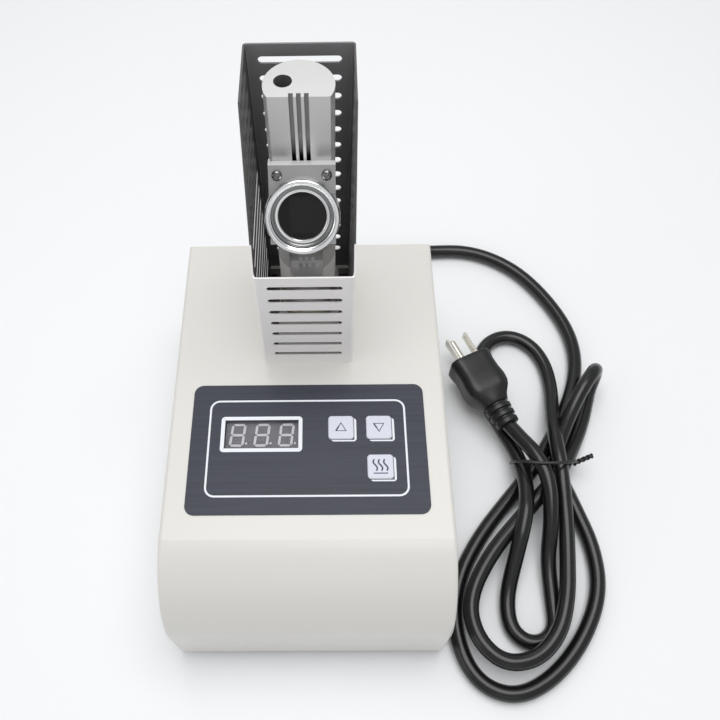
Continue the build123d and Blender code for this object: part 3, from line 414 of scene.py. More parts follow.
def bar_material(name, colour):
    """Machined aluminium with painted light: a painted highlight on the top face, painted shade in the
    grooves that darkens downwards, and a foot painted lighter as a painted sheen.
    """
    material, tree, shader = new_material(name, colour, 0.42, **METAL)
    top_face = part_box("heating_bar")[1].z - 0.1 * MM
    foot_top = 130 * MM
    # the grooves' walls lie behind the flat and show above the lens
    grooves_half, walls_front, walls_back = 4.3 * MM, (SEAT_Y + 0.05) * MM, (SEAT_Y + 2.4) * MM
    shown_from, dark_end, light_end = (SEAT_Z - 10) * MM, (SEAT_Z + 3) * MM, (SEAT_Z + 14) * MM
    x, y, z = coordinates(tree)
    groove = product(
        tree, below(tree, math_node(tree, "ABSOLUTE", x), grooves_half), above(tree, y, walls_front),
        below(tree, y, walls_back), below(tree, z, top_face), above(tree, z, shown_from))
    # painted shade: the grooves' walls darken downwards towards the plate, from light_end to dark_end
    shade = tree.nodes.new("ShaderNodeMapRange")
    ends = {"From Min": dark_end, "From Max": light_end, "To Min": 0.05, "To Max": 0.40}
    for label, value in ends.items():
        shade.inputs[label].default_value = value
    link(tree, z, shade.inputs["Value"])
    groove_shade = product(tree, groove, math_node(tree, "SUBTRACT", 1.0, shade.outputs["Result"]))
    # painted highlight on the top face, and painted sheen that makes the foot lighter
    top_highlight = product(tree, above(tree, z, top_face), 0.05)
    foot_sheen = product(tree, below(tree, z, foot_top), 0.45)
    gain = math_node(tree, "ADD", math_node(tree, "ADD", top_highlight, foot_sheen), 1.0)
    value = product(tree, math_node(tree, "SUBTRACT", 1.0, groove_shade), gain)
    link(tree, tinted(tree, soft_colour(shader), value), shader.inputs["Base Color"])
    add_marks(tree, shader, (1.0, 1.0, 0.03))
    return material


def turned_material(name, colour, roughness):
    """Metal turned round the lens axis."""
    material, tree, shader = new_material(
        name, colour, roughness, metallic=1.0, tone=0.06, tone_scale=60.0)
    centre = tuple(middle_of(*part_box("lens_ring")))
    rings = group_node(tree, "Turned Rings", Centre=centre, Axis=tuple(LENS_AXIS), Pitch=9000.0)
    add_bump(tree, shader, rings, 0.2, 0.00003)
    return material


def moulded_material(name, colour, roughness, texture=0.2, scale=1100.0, tone=0.12):
    """Plastic, rubber or print with a fine grain."""
    material, tree, shader = new_material(name, colour, roughness, tone=tone, tone_scale=60.0)
    grain = group_node(tree, "Fine Grain", Scale=scale, Softness=0.6)
    add_bump(tree, shader, grain, texture, 0.0001)
    return material


def film_material(name, colour):
    """Printed film with a faint brushed grain along its width."""
    material, tree, shader = new_material(name, colour, 0.50, tone=0.16, tone_scale=12.0)
    strokes = group_node(tree, "Tool Strokes", Stretch=(0.02, 1.0, 1.0), Scale=700.0)
    streaks = math_node(tree, "ADD", strokes.outputs["Height"], 0.5)
    link(tree, tinted(tree, soft_colour(shader), streaks), shader.inputs["Base Color"])
    add_bump(tree, shader, strokes, 0.06, 0.0001)
    return material


def clear_material(name, colour, roughness, looks):
    """Glass or clear film; looks are other inputs of its shader."""
    material, _, shader = new_material(name, colour, roughness, tone=0.02, tone_scale=30.0)
    for label, value in looks.items():
        shader.inputs[label].default_value = value
    return material


def make_materials():
    """Every finish on the apparatus, by its plain name."""
    scene = bpy.context.scene
    cabinet, panel, cord = scene.apparatus_cabinet, scene.apparatus_panel, scene.apparatus_cord
    for build in (build_tone_group, build_grain_group, build_stroke_group, build_turned_group):
        build()
    MATERIALS.update({
        "enamel": enamel_material("Cabinet enamel", tuple(cabinet.enamel), cabinet.orange_peel),
        # the guard's material holds painted shade on its inner faces
        "guard": guard_material(
            "Guard enamel", tuple(cabinet.guard_enamel), tuple(cabinet.guard_inside_shade)),
        "bar": bar_material("Machined bar", (0.66, 0.65, 0.645)),
        "fins": machined_material("Extruded fins", (0.62, 0.615, 0.615), 0.42, (1.0, 1.0, 0.03)),
        "plate": plate_material("Machined plate", (0.46, 0.455, 0.45)),
        "ring": turned_material("Turned ring", (0.90, 0.90, 0.90), 0.20),
        "steel": machined_material("Polished screw", (0.24, 0.235, 0.23), 0.18, (1.0, 1.0, 1.0), 0.1),
        "sheet": machined_material("Plain sheet steel", (0.52, 0.53, 0.54), 0.40, (0.04, 1.0, 1.0)),
        "insulation": moulded_material("Insulating disc", (0.50, 0.46, 0.38), 0.7, 0.5, 500.0),
        # painted shade: the lens cell's dark grey stands for the shade in the ring's recess
        "cell": turned_material("Lens cell", (0.26, 0.26, 0.26), 0.22),
        "rim": turned_material("Bright retainer", (0.92, 0.92, 0.92), 0.14),
        # painted shade: the lens is an opaque near-black, standing in for the shaded pocket seen through the
        # glass
        "lens": clear_material("Coated lens", (0.012, 0.010, 0.010), 0.05, {"Specular IOR Level": 0.25}),
        "film": film_material("Printed film", tuple(panel.film)),
        "print": moulded_material("White print", tuple(panel.print_white), 0.45, 0.1),
        "window": clear_material("Display window", (0.10, 0.10, 0.12), 0.08, {"Alpha": 0.16}),
        "module": moulded_material("Display face", (0.16, 0.155, 0.18), 0.35, 0.1),
        "digit": moulded_material("Digit bars", (0.95, 0.95, 0.97), 0.35, 0.1),
        "key": moulded_material("Key caps", (0.66, 0.665, 0.755), 0.38, 0.15, 900.0, 0.04),
        "ink": moulded_material("Dark print", (0.05, 0.065, 0.12), 0.5, 0.1),
        "black": moulded_material("Black plastic", (0.016, 0.016, 0.017), 0.36, 0.25),
        "foot": moulded_material("Foot rubber", (0.018, 0.018, 0.018), 0.75, 0.5, 700.0),
        "jacket": moulded_material("Cord jacket", tuple(cord.jacket), 0.22, 0.12, 400.0),
        "plug": moulded_material("Plug rubber", (0.008, 0.008, 0.008), 0.34, 0.25, 800.0),
        "brass": machined_material("Plug pins", (0.80, 0.77, 0.70), 0.22, (1.0, 0.06, 1.0), 0.15),
        "board": moulded_material("Circuit board", (0.02, 0.13, 0.055), 0.35, 0.2),
        "iron": machined_material("Laminated core", (0.20, 0.20, 0.21), 0.5, (1.0, 0.02, 1.0), 0.5),
        "tape": moulded_material("Coil tape", (0.62, 0.45, 0.05), 0.3, 0.2),
        "fuse": clear_material(
            "Fuse tube", (0.9, 0.92, 0.92), 0.05, {"Transmission Weight": 0.8, "IOR": 1.45}),
        "tie": moulded_material("Tie sleeve", (0.02, 0.02, 0.02), 0.4, 0.2),
    })


CAD_FINISHES = {
    "enamel": ["top_cover", "rear_panel"],
    "guard": ["guard"],
    "sheet": ["base_plate", "heater_cartridge", "temperature_probe"],
    "bar": ["heating_bar"],
    "fins": ["heat_sink"],
    "plate": ["lens_plate"],
    "steel": ["base_screws", "guard_nuts", "bar_bolts", "board_posts", "board_screws", "power_posts",
              "power_screws"],
    "insulation": ["insulator"],
    "lens": ["lens"],
    "film": ["overlay_panel"],
    "window": ["display_window"],
    "module": ["display_module"],
    "key": ["key_up", "key_down", "key_heat"],
    "black": ["key_switches", "control_chips", "power_triac", "terminal_block", "switch_housing",
              "power_rocker", "fuse_holder", "fuse_nut", "fuse_cap"],
    "foot": ["rubber_feet"],
    "jacket": ["strain_relief"],
    "brass": ["plug_blades", "plug_ground_pin"],
    "board": ["control_board", "power_board"],
    "iron": ["transformer_core"],
    "tape": ["transformer_coil"],
    "fuse": ["fuse"],
}


# Modelling helpers


def clear_selection():
    """Nothing selected and nothing active, so that the next operator touches only its own piece."""
    if bpy.context.object is not None and bpy.context.object.mode != "OBJECT":
        bpy.ops.object.mode_set(mode="OBJECT")
    bpy.ops.object.select_all(action="DESELECT")
    bpy.context.view_layer.objects.active = None


def only(piece):
    """Select one object and make it active."""
    clear_selection()
    piece.select_set(True)
    bpy.context.view_layer.objects.active = piece


def select_all(mode):
    """Select everything in edit mode, by vertices, edges or faces."""
    bpy.ops.mesh.select_mode(type=mode)
    bpy.ops.mesh.select_all(action="SELECT")


def in_edit(piece, mode):
    """Open the piece in edit mode with everything selected."""
    only(piece)
    bpy.ops.object.mode_set(mode="EDIT")
    select_all(mode)


def leave_edit(merge=None):
    """Merge the points that lie closer than a distance, turn every face outwards and leave edit mode."""
    bpy.ops.mesh.select_all(action="SELECT")
    if merge:
        bpy.ops.mesh.remove_doubles(threshold=merge)
    bpy.ops.mesh.normals_make_consistent(inside=False)
    bpy.ops.object.mode_set(mode="OBJECT")


def pick_faces(piece, test):
    """Select the faces whose normal passes the test."""
    bpy.ops.mesh.select_all(action="DESELECT")
    bpy.ops.object.mode_set(mode="OBJECT")
    for polygon in piece.data.polygons:
        polygon.select = test(polygon.normal)
    bpy.ops.object.mode_set(mode="EDIT")
    bpy.ops.mesh.select_mode(type="FACE")


def pull_up(height):
    """Extrude what is selected along Z."""
    bpy.ops.mesh.extrude_region_move(TRANSFORM_OT_translate={"value": (0, 0, height)})


def pull_through(first, sections):
    """Extrude the selected outline through sections: height, half width and half depth, in millimetres."""
    height, wide, deep = first
    for next_height, next_wide, next_deep in sections:
        pull_up((next_height - height) * MM)
        bpy.ops.transform.resize(value=(next_wide / wide, next_deep / deep, 1),
                                 center_override=(0, 0, next_height * MM))
        height, wide, deep = next_height, next_wide, next_deep


def apply_place(piece):
    """Move the place, turn and scale of an object into its mesh."""
    only(piece)
    bpy.ops.object.transform_apply(location=True, rotation=True, scale=True)


def put(piece, matrix):
    """Set a modelled piece at its place and leave its object at the origin."""
    piece.matrix_world = matrix
    apply_place(piece)


def copy_of(piece):
    """A copy with a mesh of its own."""
    twin = piece.copy()
    twin.data = piece.data.copy()
    bpy.context.collection.objects.link(twin)
    return twin


def join(pieces, name):
    """One object from several copies."""
    clear_selection()
    for piece in pieces:
        piece.select_set(True)
    bpy.context.view_layer.objects.active = pieces[0]
    bpy.ops.object.join()
    joined = bpy.context.object
    joined.name = name
    return joined


def dress(piece, name, finish, body="cabinet"):
    """Name the piece, give it its finish and let it ride on its body."""
    piece.name = name
    piece.data.name = name
    piece.data.materials.clear()
    piece.data.materials.append(MATERIALS[finish])
    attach(piece, body)
    return piece


def along(direction, origin):
    """A matrix whose Z axis points along the direction."""
    return Matrix.Translation(origin) @ direction.to_track_quat("Z", "Y").to_matrix().to_4x4()


def spin(angle):
    """A turn about Z."""
    return Matrix.Rotation(angle, 4, "Z")


def on_plate(across, down):
    """A point on the lens plate's back, in millimetres from its middle and its top edge."""
    return mm(across, SEAT_Y - down * math.sin(TILT), SEAT_Z - down * math.cos(TILT))


def flat_print(width, length, corner, thickness, line=None):
    """A thin rounded plate at the origin, or only its border where a line width is given."""
    bpy.ops.mesh.primitive_plane_add(size=1)
    patch = bpy.context.object
    patch.scale = (width, length, 1)
    apply_place(patch)
    in_edit(patch, "VERT")
    bpy.ops.mesh.bevel(offset=corner, offset_pct=0, segments=6, affect="VERTICES")
    select_all("FACE")
    if line:
        bpy.ops.mesh.inset(thickness=line, depth=0)
        bpy.ops.mesh.delete(type="FACE")
        bpy.ops.mesh.select_all(action="SELECT")
    pull_up(thickness)
    leave_edit()
    return patch


def cut_box(piece, size, place):
    """Cut a box out of the piece."""
    bpy.ops.mesh.primitive_cube_add(size=1, location=place)
    box = bpy.context.object
    box.scale = size
    apply_place(box)
    only(piece)
    cut = piece.modifiers.new("cut", "BOOLEAN")
    cut.operation = "DIFFERENCE"
    cut.solver = "EXACT"
    cut.object = box
    bpy.ops.object.modifier_apply(modifier=cut.name)
    bpy.data.objects.remove(box)


def soften(piece, width, limit, smooth):
    """Bevel the edges sharper than a limit and shade the rest smooth, with both angles in degrees."""
    only(piece)
    soft = piece.modifiers.new("soft edges", "BEVEL")
    soft.width = width
    soft.segments = 2
    soft.limit_method = "ANGLE"
    soft.angle_limit = math.radians(limit)
    bpy.ops.object.modifier_apply(modifier=soft.name)
    bpy.ops.object.shade_smooth_by_angle(angle=math.radians(smooth))


def cross_head(radius, height, shank, shank_length):
    """A pan-head screw with a cross recess, its head's underside at the origin and its axis along Z."""
    bpy.ops.mesh.primitive_cylinder_add(
        vertices=40, radius=radius, depth=height, location=(0, 0, height / 2))
    head = bpy.context.object
    apply_place(head)
    in_edit(head, "FACE")
    pick_faces(head, lambda normal: normal.z > 0.9)
    for inset, rise in ((0.28, 0.34), (0.30, 0.10)):
        bpy.ops.mesh.inset(thickness=radius * inset, depth=height * rise)
    pick_faces(head, lambda normal: normal.z < -0.9)
    bpy.ops.mesh.inset(thickness=radius - shank, depth=0)
    pull_up(-shank_length)
    bpy.ops.object.mode_set(mode="OBJECT")
    # the cross recess cuts in from above the dome
    long, narrow, floor, ceiling = radius * 1.15, radius * 0.26, height * 0.6, height * 1.9
    for arm in ((long, narrow), (narrow, long)):
        cut_box(head, (*arm, ceiling - floor), (0, 0, (floor + ceiling) / 2))
    soften(head, radius * 0.05, 30, 40)
    return head


def screw_set(model, places, name):
    """A copy of the screw at each place, as one piece."""
    screws = []
    for place in places:
        screw = copy_of(model)
        put(screw, place)
        screws.append(screw)
    return dress(join(screws, name), name, "steel")


def wire(name, chains, radius, kind="NURBS", steps=10, rounding=3):
    """A round wire along chains of points in millimetres."""
    curve = bpy.data.curves.new(name, "CURVE")
    curve.dimensions = "3D"
    curve.resolution_u = steps
    curve.bevel_depth = radius
    curve.bevel_resolution = rounding
    curve.use_fill_caps = True
    for chain in chains:
        spline = curve.splines.new(kind)
        spline.points.add(len(chain) - 1)
        for point, place in zip(spline.points, chain):
            point.co = (*mm(*place), 1)
        if kind == "NURBS":
            spline.order_u = 3
            spline.use_endpoint_u = True
    piece = bpy.data.objects.new(name, curve)
    bpy.context.collection.objects.link(piece)
    return piece


def to_mesh(piece):
    """The curve's skin as a mesh."""
    only(piece)
    bpy.ops.object.convert(target="MESH")
    return bpy.context.object


def stroke(points, width, thickness=0.05 * MM):
    """A printed stroke along a chain of points in the ground plane."""
    line = to_mesh(wire("stroke", [[(x, y, 0) for x, y in points]], width / 2, kind="POLY"))
    line.scale = (1, 1, thickness / (width / 2))
    apply_place(line)
    return line


def digit_bar(length, thick, deep, level, spot, lean):
    """One slanted bar of a digit with pointed ends, level or upright, at its spot in the digit."""
    bpy.ops.mesh.primitive_circle_add(vertices=6, radius=1, fill_type="NGON")
    bar = bpy.context.object
    in_edit(bar, "FACE")
    pull_up(1)
    bpy.ops.object.mode_set(mode="OBJECT")
    for vertex in bar.data.vertices:
        # the circle's corners on the Y axis become the bar's tips
        tip = abs(vertex.co.x) < 0.1
        reach = math.copysign(length / 2 if tip else length / 2 - thick / 2, vertex.co.y)
        aside = 0 if tip else math.copysign(thick / 2, vertex.co.x)
        x, y = (reach, aside) if level else (aside, reach)
        vertex.co = (x + spot[0] + lean * (y + spot[1]), y + spot[1], vertex.co.z * deep)
    return bar


def turned_ring(profile):
    """A ring turned round Z from a closed profile of radius and height, in millimetres."""
    radius, height = profile[0]
    bpy.ops.mesh.primitive_circle_add(vertices=96, radius=radius * MM, location=(0, 0, height * MM))
    ring = bpy.context.object
    apply_place(ring)
    in_edit(ring, "EDGE")
    pull_through((height, radius, radius), [(z, r, r) for r, z in (*profile[1:], profile[0])])
    leave_edit(merge=0.005 * MM)
    bpy.ops.object.shade_smooth_by_angle(angle=math.radians(32))
    return ring


def lens_piece(profile, name, finish, body="cabinet"):
    """A ring turned round the lens axis, with its profile measured from the plate's back."""
    ring = turned_ring(profile)
    put(ring, along(LENS_AXIS, on_plate(0, LENS_DROP)))
    return dress(ring, name, finish, body=body)


class FinishSolids(bpy.types.Operator):
    """Give every solid of the cabinet, guard, bar and fittings its finish"""
    bl_idname = "apparatus.finish_solids"
    bl_label = "Finish Solids"

    def execute(self, context):
        make_materials()
        for finish, names in CAD_FINISHES.items():
            for name in names:
                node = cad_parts[name]
                if not node.material_slots:
                    node.data.materials.append(MATERIALS[finish])
                for entry in node.material_slots:
                    entry.material = MATERIALS[finish]
        return {"FINISHED"}


class PrintPanel(bpy.types.Operator):
    """Print the frame line, the display's frame and the keys' shades"""
    bl_idname = "apparatus.print_panel"
    bl_label = "Print Panel"

    def execute(self, context):
        clear_selection()
        surface = OVERLAY_HIGH.z
        # the frame line runs parallel to the film's edges, a little left of its middle
        margins, left, corner, relief = mm(19.1, 18.3, 0), 0.45 * MM, 5.2 * MM, 0.06 * MM
        middle = middle_of(OVERLAY_LOW, OVERLAY_HIGH)
        size = OVERLAY_HIGH - OVERLAY_LOW - margins
        line = flat_print(size.x, size.y, corner, relief, context.scene.apparatus_panel.line_width)
        put(line, Matrix.Translation((middle.x - left, middle.y, surface)))
        dress(line, "frame_line", "print")
        # the display's white frame, round the window's opening
        reach, width, corner, relief = 2.1 * MM, 2.0 * MM, 1.9 * MM, 0.08 * MM
        middle = middle_of(WINDOW_LOW, WINDOW_HIGH)
        size = WINDOW_HIGH - WINDOW_LOW + Vector((2, 2, 0)) * (reach - WINDOW_EDGE)
        border = flat_print(size.x, size.y, corner, relief, width)
        put(border, Matrix.Translation((middle.x, middle.y, surface)))
        dress(border, "display_border", "print")
        # each key's white shade, offset to the lower right as on the printed film
        shift, clearance, corner, relief = mm(1.4, -1.1, 0), 0.3 * MM, 1.6 * MM, 0.07 * MM
        opening = (KEY_SIDE + 2 * clearance, KEY_SIDE + 2 * clearance, 2 * MM)
        shades = []
        for name in ("key_up", "key_down", "key_heat"):
            middle = middle_of(*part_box(name))
            middle.z = surface
            shade = flat_print(KEY_SIDE, KEY_SIDE, corner, relief)
            put(shade, Matrix.Translation(middle + shift))
            cut_box(shade, opening, middle)
            shades.append(shade)
        dress(join(shades, "key_shades"), "key_shades", "print")
        return {"FINISHED"}


class PrintIcons(bpy.types.Operator):
    """Print the up, down and heat icons on the key caps"""
    bl_idname = "apparatus.print_icons"
    bl_label = "Print Icons"

    def execute(self, context):
        clear_selection()
        icon_line, heat_line = 0.85 * MM, 0.6 * MM
        chains = {
            "key_up": [ARROW],
            "key_down": [[(x, -y) for x, y in ARROW]],
            "key_heat": [[(x + shift, y) for x, y in WAVE] for shift in WAVE_SHIFTS],
        }
        for name, lines in chains.items():
            spot = middle_of(*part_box(name))
            spot.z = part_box(name)[1].z
            parts = [stroke(line, icon_line) for line in lines]
            if name == "key_heat":
                parts.append(stroke(HEAT_LINE, heat_line))
            icon = join(parts, name + "_icon")
            put(icon, Matrix.Translation(spot))
            dress(icon, name + "_icon", "ink", body=name + "_body")
        return {"FINISHED"}


class LayDigits(bpy.types.Operator):
    """Lay the slanted bars and points of the three digits behind the window"""
    bl_idname = "apparatus.lay_digits"
    bl_label = "Lay Digits"

    def execute(self, context):
        clear_selection()
        height = context.scene.apparatus_panel.digit_height
        wide, lean = height * 0.54, math.tan(math.radians(6))
        # the bars' thickness, the gap at their tips, their depth, and how far it is sunk in the face
        thick, gap, deep, sunk = 1.30 * MM, 0.22 * MM, 0.4 * MM, 0.35 * MM
        point_radius, point_right, point_up = 0.6 * MM, 1.4 * MM, 1.2 * MM
        level_bars = [(0, height / 2), (0, 0), (0, -height / 2)]
        upright_bars = [(side * wide / 2, end * height / 4) for side in (-1, 1) for end in (-1, 1)]
        middle = middle_of(MODULE_LOW, MODULE_HIGH) + mm(0, 0.7, 0)
        base = MODULE_HIGH.z - sunk
        made = []
        for digit in (-1, 0, 1):
            x = middle.x + digit * DIGIT_PITCH
            for spots, level, length in ((level_bars, True, wide), (upright_bars, False, height / 2)):
                for spot in spots:
                    bar = digit_bar(length - 2 * gap, thick, deep, level, spot, lean)
                    bar.location = (x, middle.y, base)
                    apply_place(bar)
                    in_edit(bar, "FACE")
                    leave_edit()
                    made.append(bar)
            bpy.ops.mesh.primitive_cylinder_add(
                vertices=20, radius=point_radius, depth=deep,
                location=(x + wide / 2 + point_right, middle.y - height / 2 + point_up, base + deep / 2))
            point = bpy.context.object
            apply_place(point)
            made.append(point)
        dress(join(made, "digit_bars"), "digit_bars", "digit")
        return {"FINISHED"}


class TurnRings(bpy.types.Operator):
    """Turn the lens ring with its rounded rim, and the stepped cell and retainer inside it"""
    bl_idname = "apparatus.turn_rings"
    bl_label = "Turn Rings"

    def execute(self, context):
        clear_selection()
        rim = lens_piece([
            (17.0, 3.02), (17.0, 9.6), (16.88, 10.2), (16.55, 10.7), (16.1, 10.93), (15.6, 11.0),
            (15.1, 10.9), (14.8, 10.6), (14.7, 10.1), (14.35, 9.95), (14.2, 9.8), (14.2, 4.0), (12.7, 4.0),
            (12.7, 3.02),
        ], "lens_ring_turned", "ring")
        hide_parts("lens_ring")
        cell = lens_piece([
            (14.14, 4.04), (14.14, 8.3), (14.0, 8.52), (13.6, 8.62), (13.1, 8.5), (12.75, 8.15),
            (12.6, 7.9), (12.3, 7.9), (12.3, 6.62), (12.3, 5.6), (12.3, 4.9), (11.0, 4.7), (10.62, 4.04),
        ], "lens_cell_turned", "cell", "lens_body")
        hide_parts("lens_cell")
        retainer = lens_piece([
            (12.28, 6.62), (12.28, 7.85), (12.1, 8.02), (11.6, 8.02), (11.0, 7.75), (10.7, 7.3),
            (10.62, 6.9), (10.62, 6.62),
        ], "lens_retainer_turned", "rim", "lens_body")
        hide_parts("lens_retainer")
        return {"FINISHED"}


class FitScrews(bpy.types.Operator):
    """Fit cross-head screws on the lens plate, in the guard and on the rear panel"""
    bl_idname = "apparatus.fit_screws"
    bl_label = "Fit Screws"

    def execute(self, context):
        clear_selection()
        model = cross_head(2.3 * MM, 1.5 * MM, 1.25 * MM, 8.9 * MM)
        front = LENS_AXIS * PLATE_THICKNESS * MM
        screws = screw_set(model, [
            along(LENS_AXIS, on_plate(side * LENS_SCREW_ACROSS, LENS_SCREW_DROP) + front) @ spin(0.4 * side)
            for side in (-1, 1)], "lens_screw_heads")
        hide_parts("lens_plate_screws")
        bpy.data.objects.remove(model)
        model = cross_head(PANEL_HEAD, 2.0 * MM, 1.5 * MM, 5.9 * MM)
        screws = screw_set(model, [
            Matrix.Translation(mm(x, y, GUARD_SCREW_Z)) @ spin(0.3 + x * y)
            for x in (-GUARD_SCREW_X, GUARD_SCREW_X) for y in GUARD_SCREW_YS], "guard_screw_heads")
        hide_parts("guard_screws")
        low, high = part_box("rear_panel_screws")
        outwards = Vector((0, 1, 0))
        screws = screw_set(model, [
            along(outwards, Vector((x, REAR_FACE * MM, z))) @ spin(x * 40)
            for x in (low.x + PANEL_HEAD, high.x - PANEL_HEAD)
            for z in (low.z + PANEL_HEAD, high.z - PANEL_HEAD)], "rear_screw_heads")
        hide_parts("rear_panel_screws")
        bpy.data.objects.remove(model)
        return {"FINISHED"}


# The cord's route in millimetres: out of the cabinet, round to the tie, its loops, and up to the plug
LEAD = [
    (28, 125, 24), (28, 136.5, 23.8), (32, 148, 20.5), (41, 157, 15.0), (54, 161, 9.8), (70, 162, 6.3),
    (88.5, 164.5, 4.7), (110, 164.5, 4.6), (129.5, 157.5, 4.6), (147.5, 144, 4.6), (163.5, 121.5, 4.6),
    (175, 94.5, 4.6), (176, 69, 4.6),
]
FIRST_LOOP = [
    (168, 43, 4.6), (153, 17, 4.6), (137, -6, 4.8), (118, -27, 4.6), (98, -50, 4.6), (83, -76, 4.6),
    (79.5, -104, 4.6), (88, -128, 4.6), (108, -137, 4.6), (130, -128, 4.6), (150, -108, 4.6),
    (164, -82, 4.6), (165, -56, 4.6), (158, -31, 4.7), (150, -7, 6.5),
]
FOLD = [
    (153, 8, 11.5), (158.5, 20.5, 18.5), (164, 31, 24.0), (170.5, 41, 27.5), (178, 50.2, 26.8),
    (182.2, 55.8, 20.2), (183.2, 54.6, 11.2), (180.5, 48.8, 4.8), (177, 38.5, 4.6), (172, 25, 4.6),
    (165, 11, 5.8), (156, -4, 11.0),
]
SECOND_LOOP = [
    (144, -19, 15.2), (125, -38, 13.8), (102, -62, 13.8), (87, -88, 13.8), (90, -108, 13.8),
    (103, -121, 13.8), (121, -119, 13.8), (135, -106, 13.8), (142.5, -87, 13.8), (146, -66, 13.8),
    (149, -41, 14.2), (149, -16, 20.5),
]
ARCH = [
    (149, 7, 20.0), (152, 30, 11.5), (156, 50, 5.2), (155, 68, 4.6), (148, 83, 4.6), (135, 91, 4.6),
    (121, 88, 4.6), (112, 76, 4.6), (109, 59, 4.6), (112, 41, 4.8), (119, 20, 8.5), (126, 0, 13.0),
]
INNER_LOOP = [
    (128, -20, 18.0), (124, -42, 22.5), (116, -66, 12.5), (110.5, -84, 5.5), (110.3, -100, 4.6),
    (117.8, -108.5, 4.6), (128.5, -108.7, 4.6), (136, -101, 4.6), (136.2, -86, 5.0), (136, -64, 8.5),
    (139, -44, 18.0), (140, -22, 25.0),
]
TO_PLUG = [(134, -5, 26.0), (126, 8, 22.6), (121, 17, 20.5)]
ROUTE = LEAD + FIRST_LOOP + FOLD + SECOND_LOOP + ARCH + INNER_LOOP + TO_PLUG
PLUG_HEADING = Vector((-0.42, 0.9075, 0.02)).normalized()

# The plug along its axis: distance from the cord's end, half width and half thickness, in millimetres
PLUG_START = (-1.0, 1.0, 1.0)
PLUG_SECTIONS = [
    (-1.0, 5.4, 5.4), (-0.4, 7.2, 6.9), (2.6, 7.4, 7.0), (3.0, 6.0, 5.9), (4.2, 6.0, 5.9),
    (4.6, 7.8, 7.2), (7.4, 8.0, 7.3), (7.8, 6.3, 6.1), (9.0, 6.3, 6.1),
    (9.4, 8.3, 7.5), (12.2, 8.5, 7.6), (12.6, 6.8, 6.4), (13.8, 6.9, 6.5),
    (14.2, 8.6, 7.8), (17.5, 9.6, 8.6), (22.0, 12.2, 9.9), (24.5, 13.3, 10.5), (29.0, 13.7, 10.9),
    (35.0, 13.0, 10.8), (41.0, 12.8, 10.7), (46.0, 13.6, 10.9), (48.2, 13.7, 10.9), (49.0, 13.1, 10.3),
]
GRIP_WIDE, GRIP_THICK = 13.7, 10.9
GRIP_START, GRIP_BLEND = 14.5, 7.5  # where the neck begins to grow squarer, and over what length
GRIP_SQUARE = 1.22  # how far the grip's corners reach past an oval

# The tie round the bundle's neck, in millimetres
TIE_X, TIE_Z, TIE_WIDTH, TIE_HEIGHT = 140.0, 16.0, 37.0, 30.0
TIE_POINTS, TIE_SQUARE, TIE_LEAN, TIE_RIPPLE = 24, 0.7, 0.42, 0.6
# Its two ends wind round one line: its start, and how far on and how much round each point lies past the last
TAIL_START, TAIL_STEP = (TIE_X + TIE_WIDTH / 2 + 1.0, -6.5, 14.0), (1.3, 0.4, 0.5)
TAIL_TURN, TAIL_POINTS = 1.6, 9


class LayCord(bpy.types.Operator):
    """Lay the mains cord along the bench, round its loops and up to its plug"""
    bl_idname = "apparatus.lay_cord"
    bl_label = "Lay Cord"

    def execute(self, context):
        cord = wire("mains_cord", [ROUTE], context.scene.apparatus_cord.diameter / 2, rounding=5)
        dress(cord, "mains_cord", "jacket")
        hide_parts("cord_lead", "cord_bundle")
        return {"FINISHED"}


def plug_matrix():
    """The plug's place at the end of the cord, Z along the plug and X across it."""
    across = Vector((PLUG_HEADING.y, -PLUG_HEADING.x, 0)).normalized()
    up = PLUG_HEADING.cross(across)
    return Matrix.Translation(mm(*ROUTE[-1])) @ Matrix((across, up, PLUG_HEADING)).transposed().to_4x4()


def tie_chains():
    """The tie's loop round the neck of the bundle, and its two ends twisted together."""
    def rounded(value):
        return math.copysign(abs(value) ** TIE_SQUARE, value)

    loop = []
    for step in range(1, TIE_POINTS + 1):
        turn = 2 * math.pi * step / (TIE_POINTS + 1)
        x, z = rounded(math.cos(turn)) * TIE_WIDTH / 2, rounded(math.sin(turn)) * TIE_HEIGHT / 2
        y = TIE_RIPPLE * math.sin(3 * turn) - TIE_LEAN * (z + TIE_HEIGHT / 2)
        loop.append((TIE_X + x, y, TIE_Z + z))
    tails = []
    for side in (0, math.pi):
        tail = []
        for step in range(TAIL_POINTS):
            turn = side + step * TAIL_TURN
            x, y, z = (start + step * move for start, move in zip(TAIL_START, TAIL_STEP))
            tail.append((x, y + math.cos(turn), z + math.sin(turn)))
        tails.append(tail)
    return [loop, *tails]


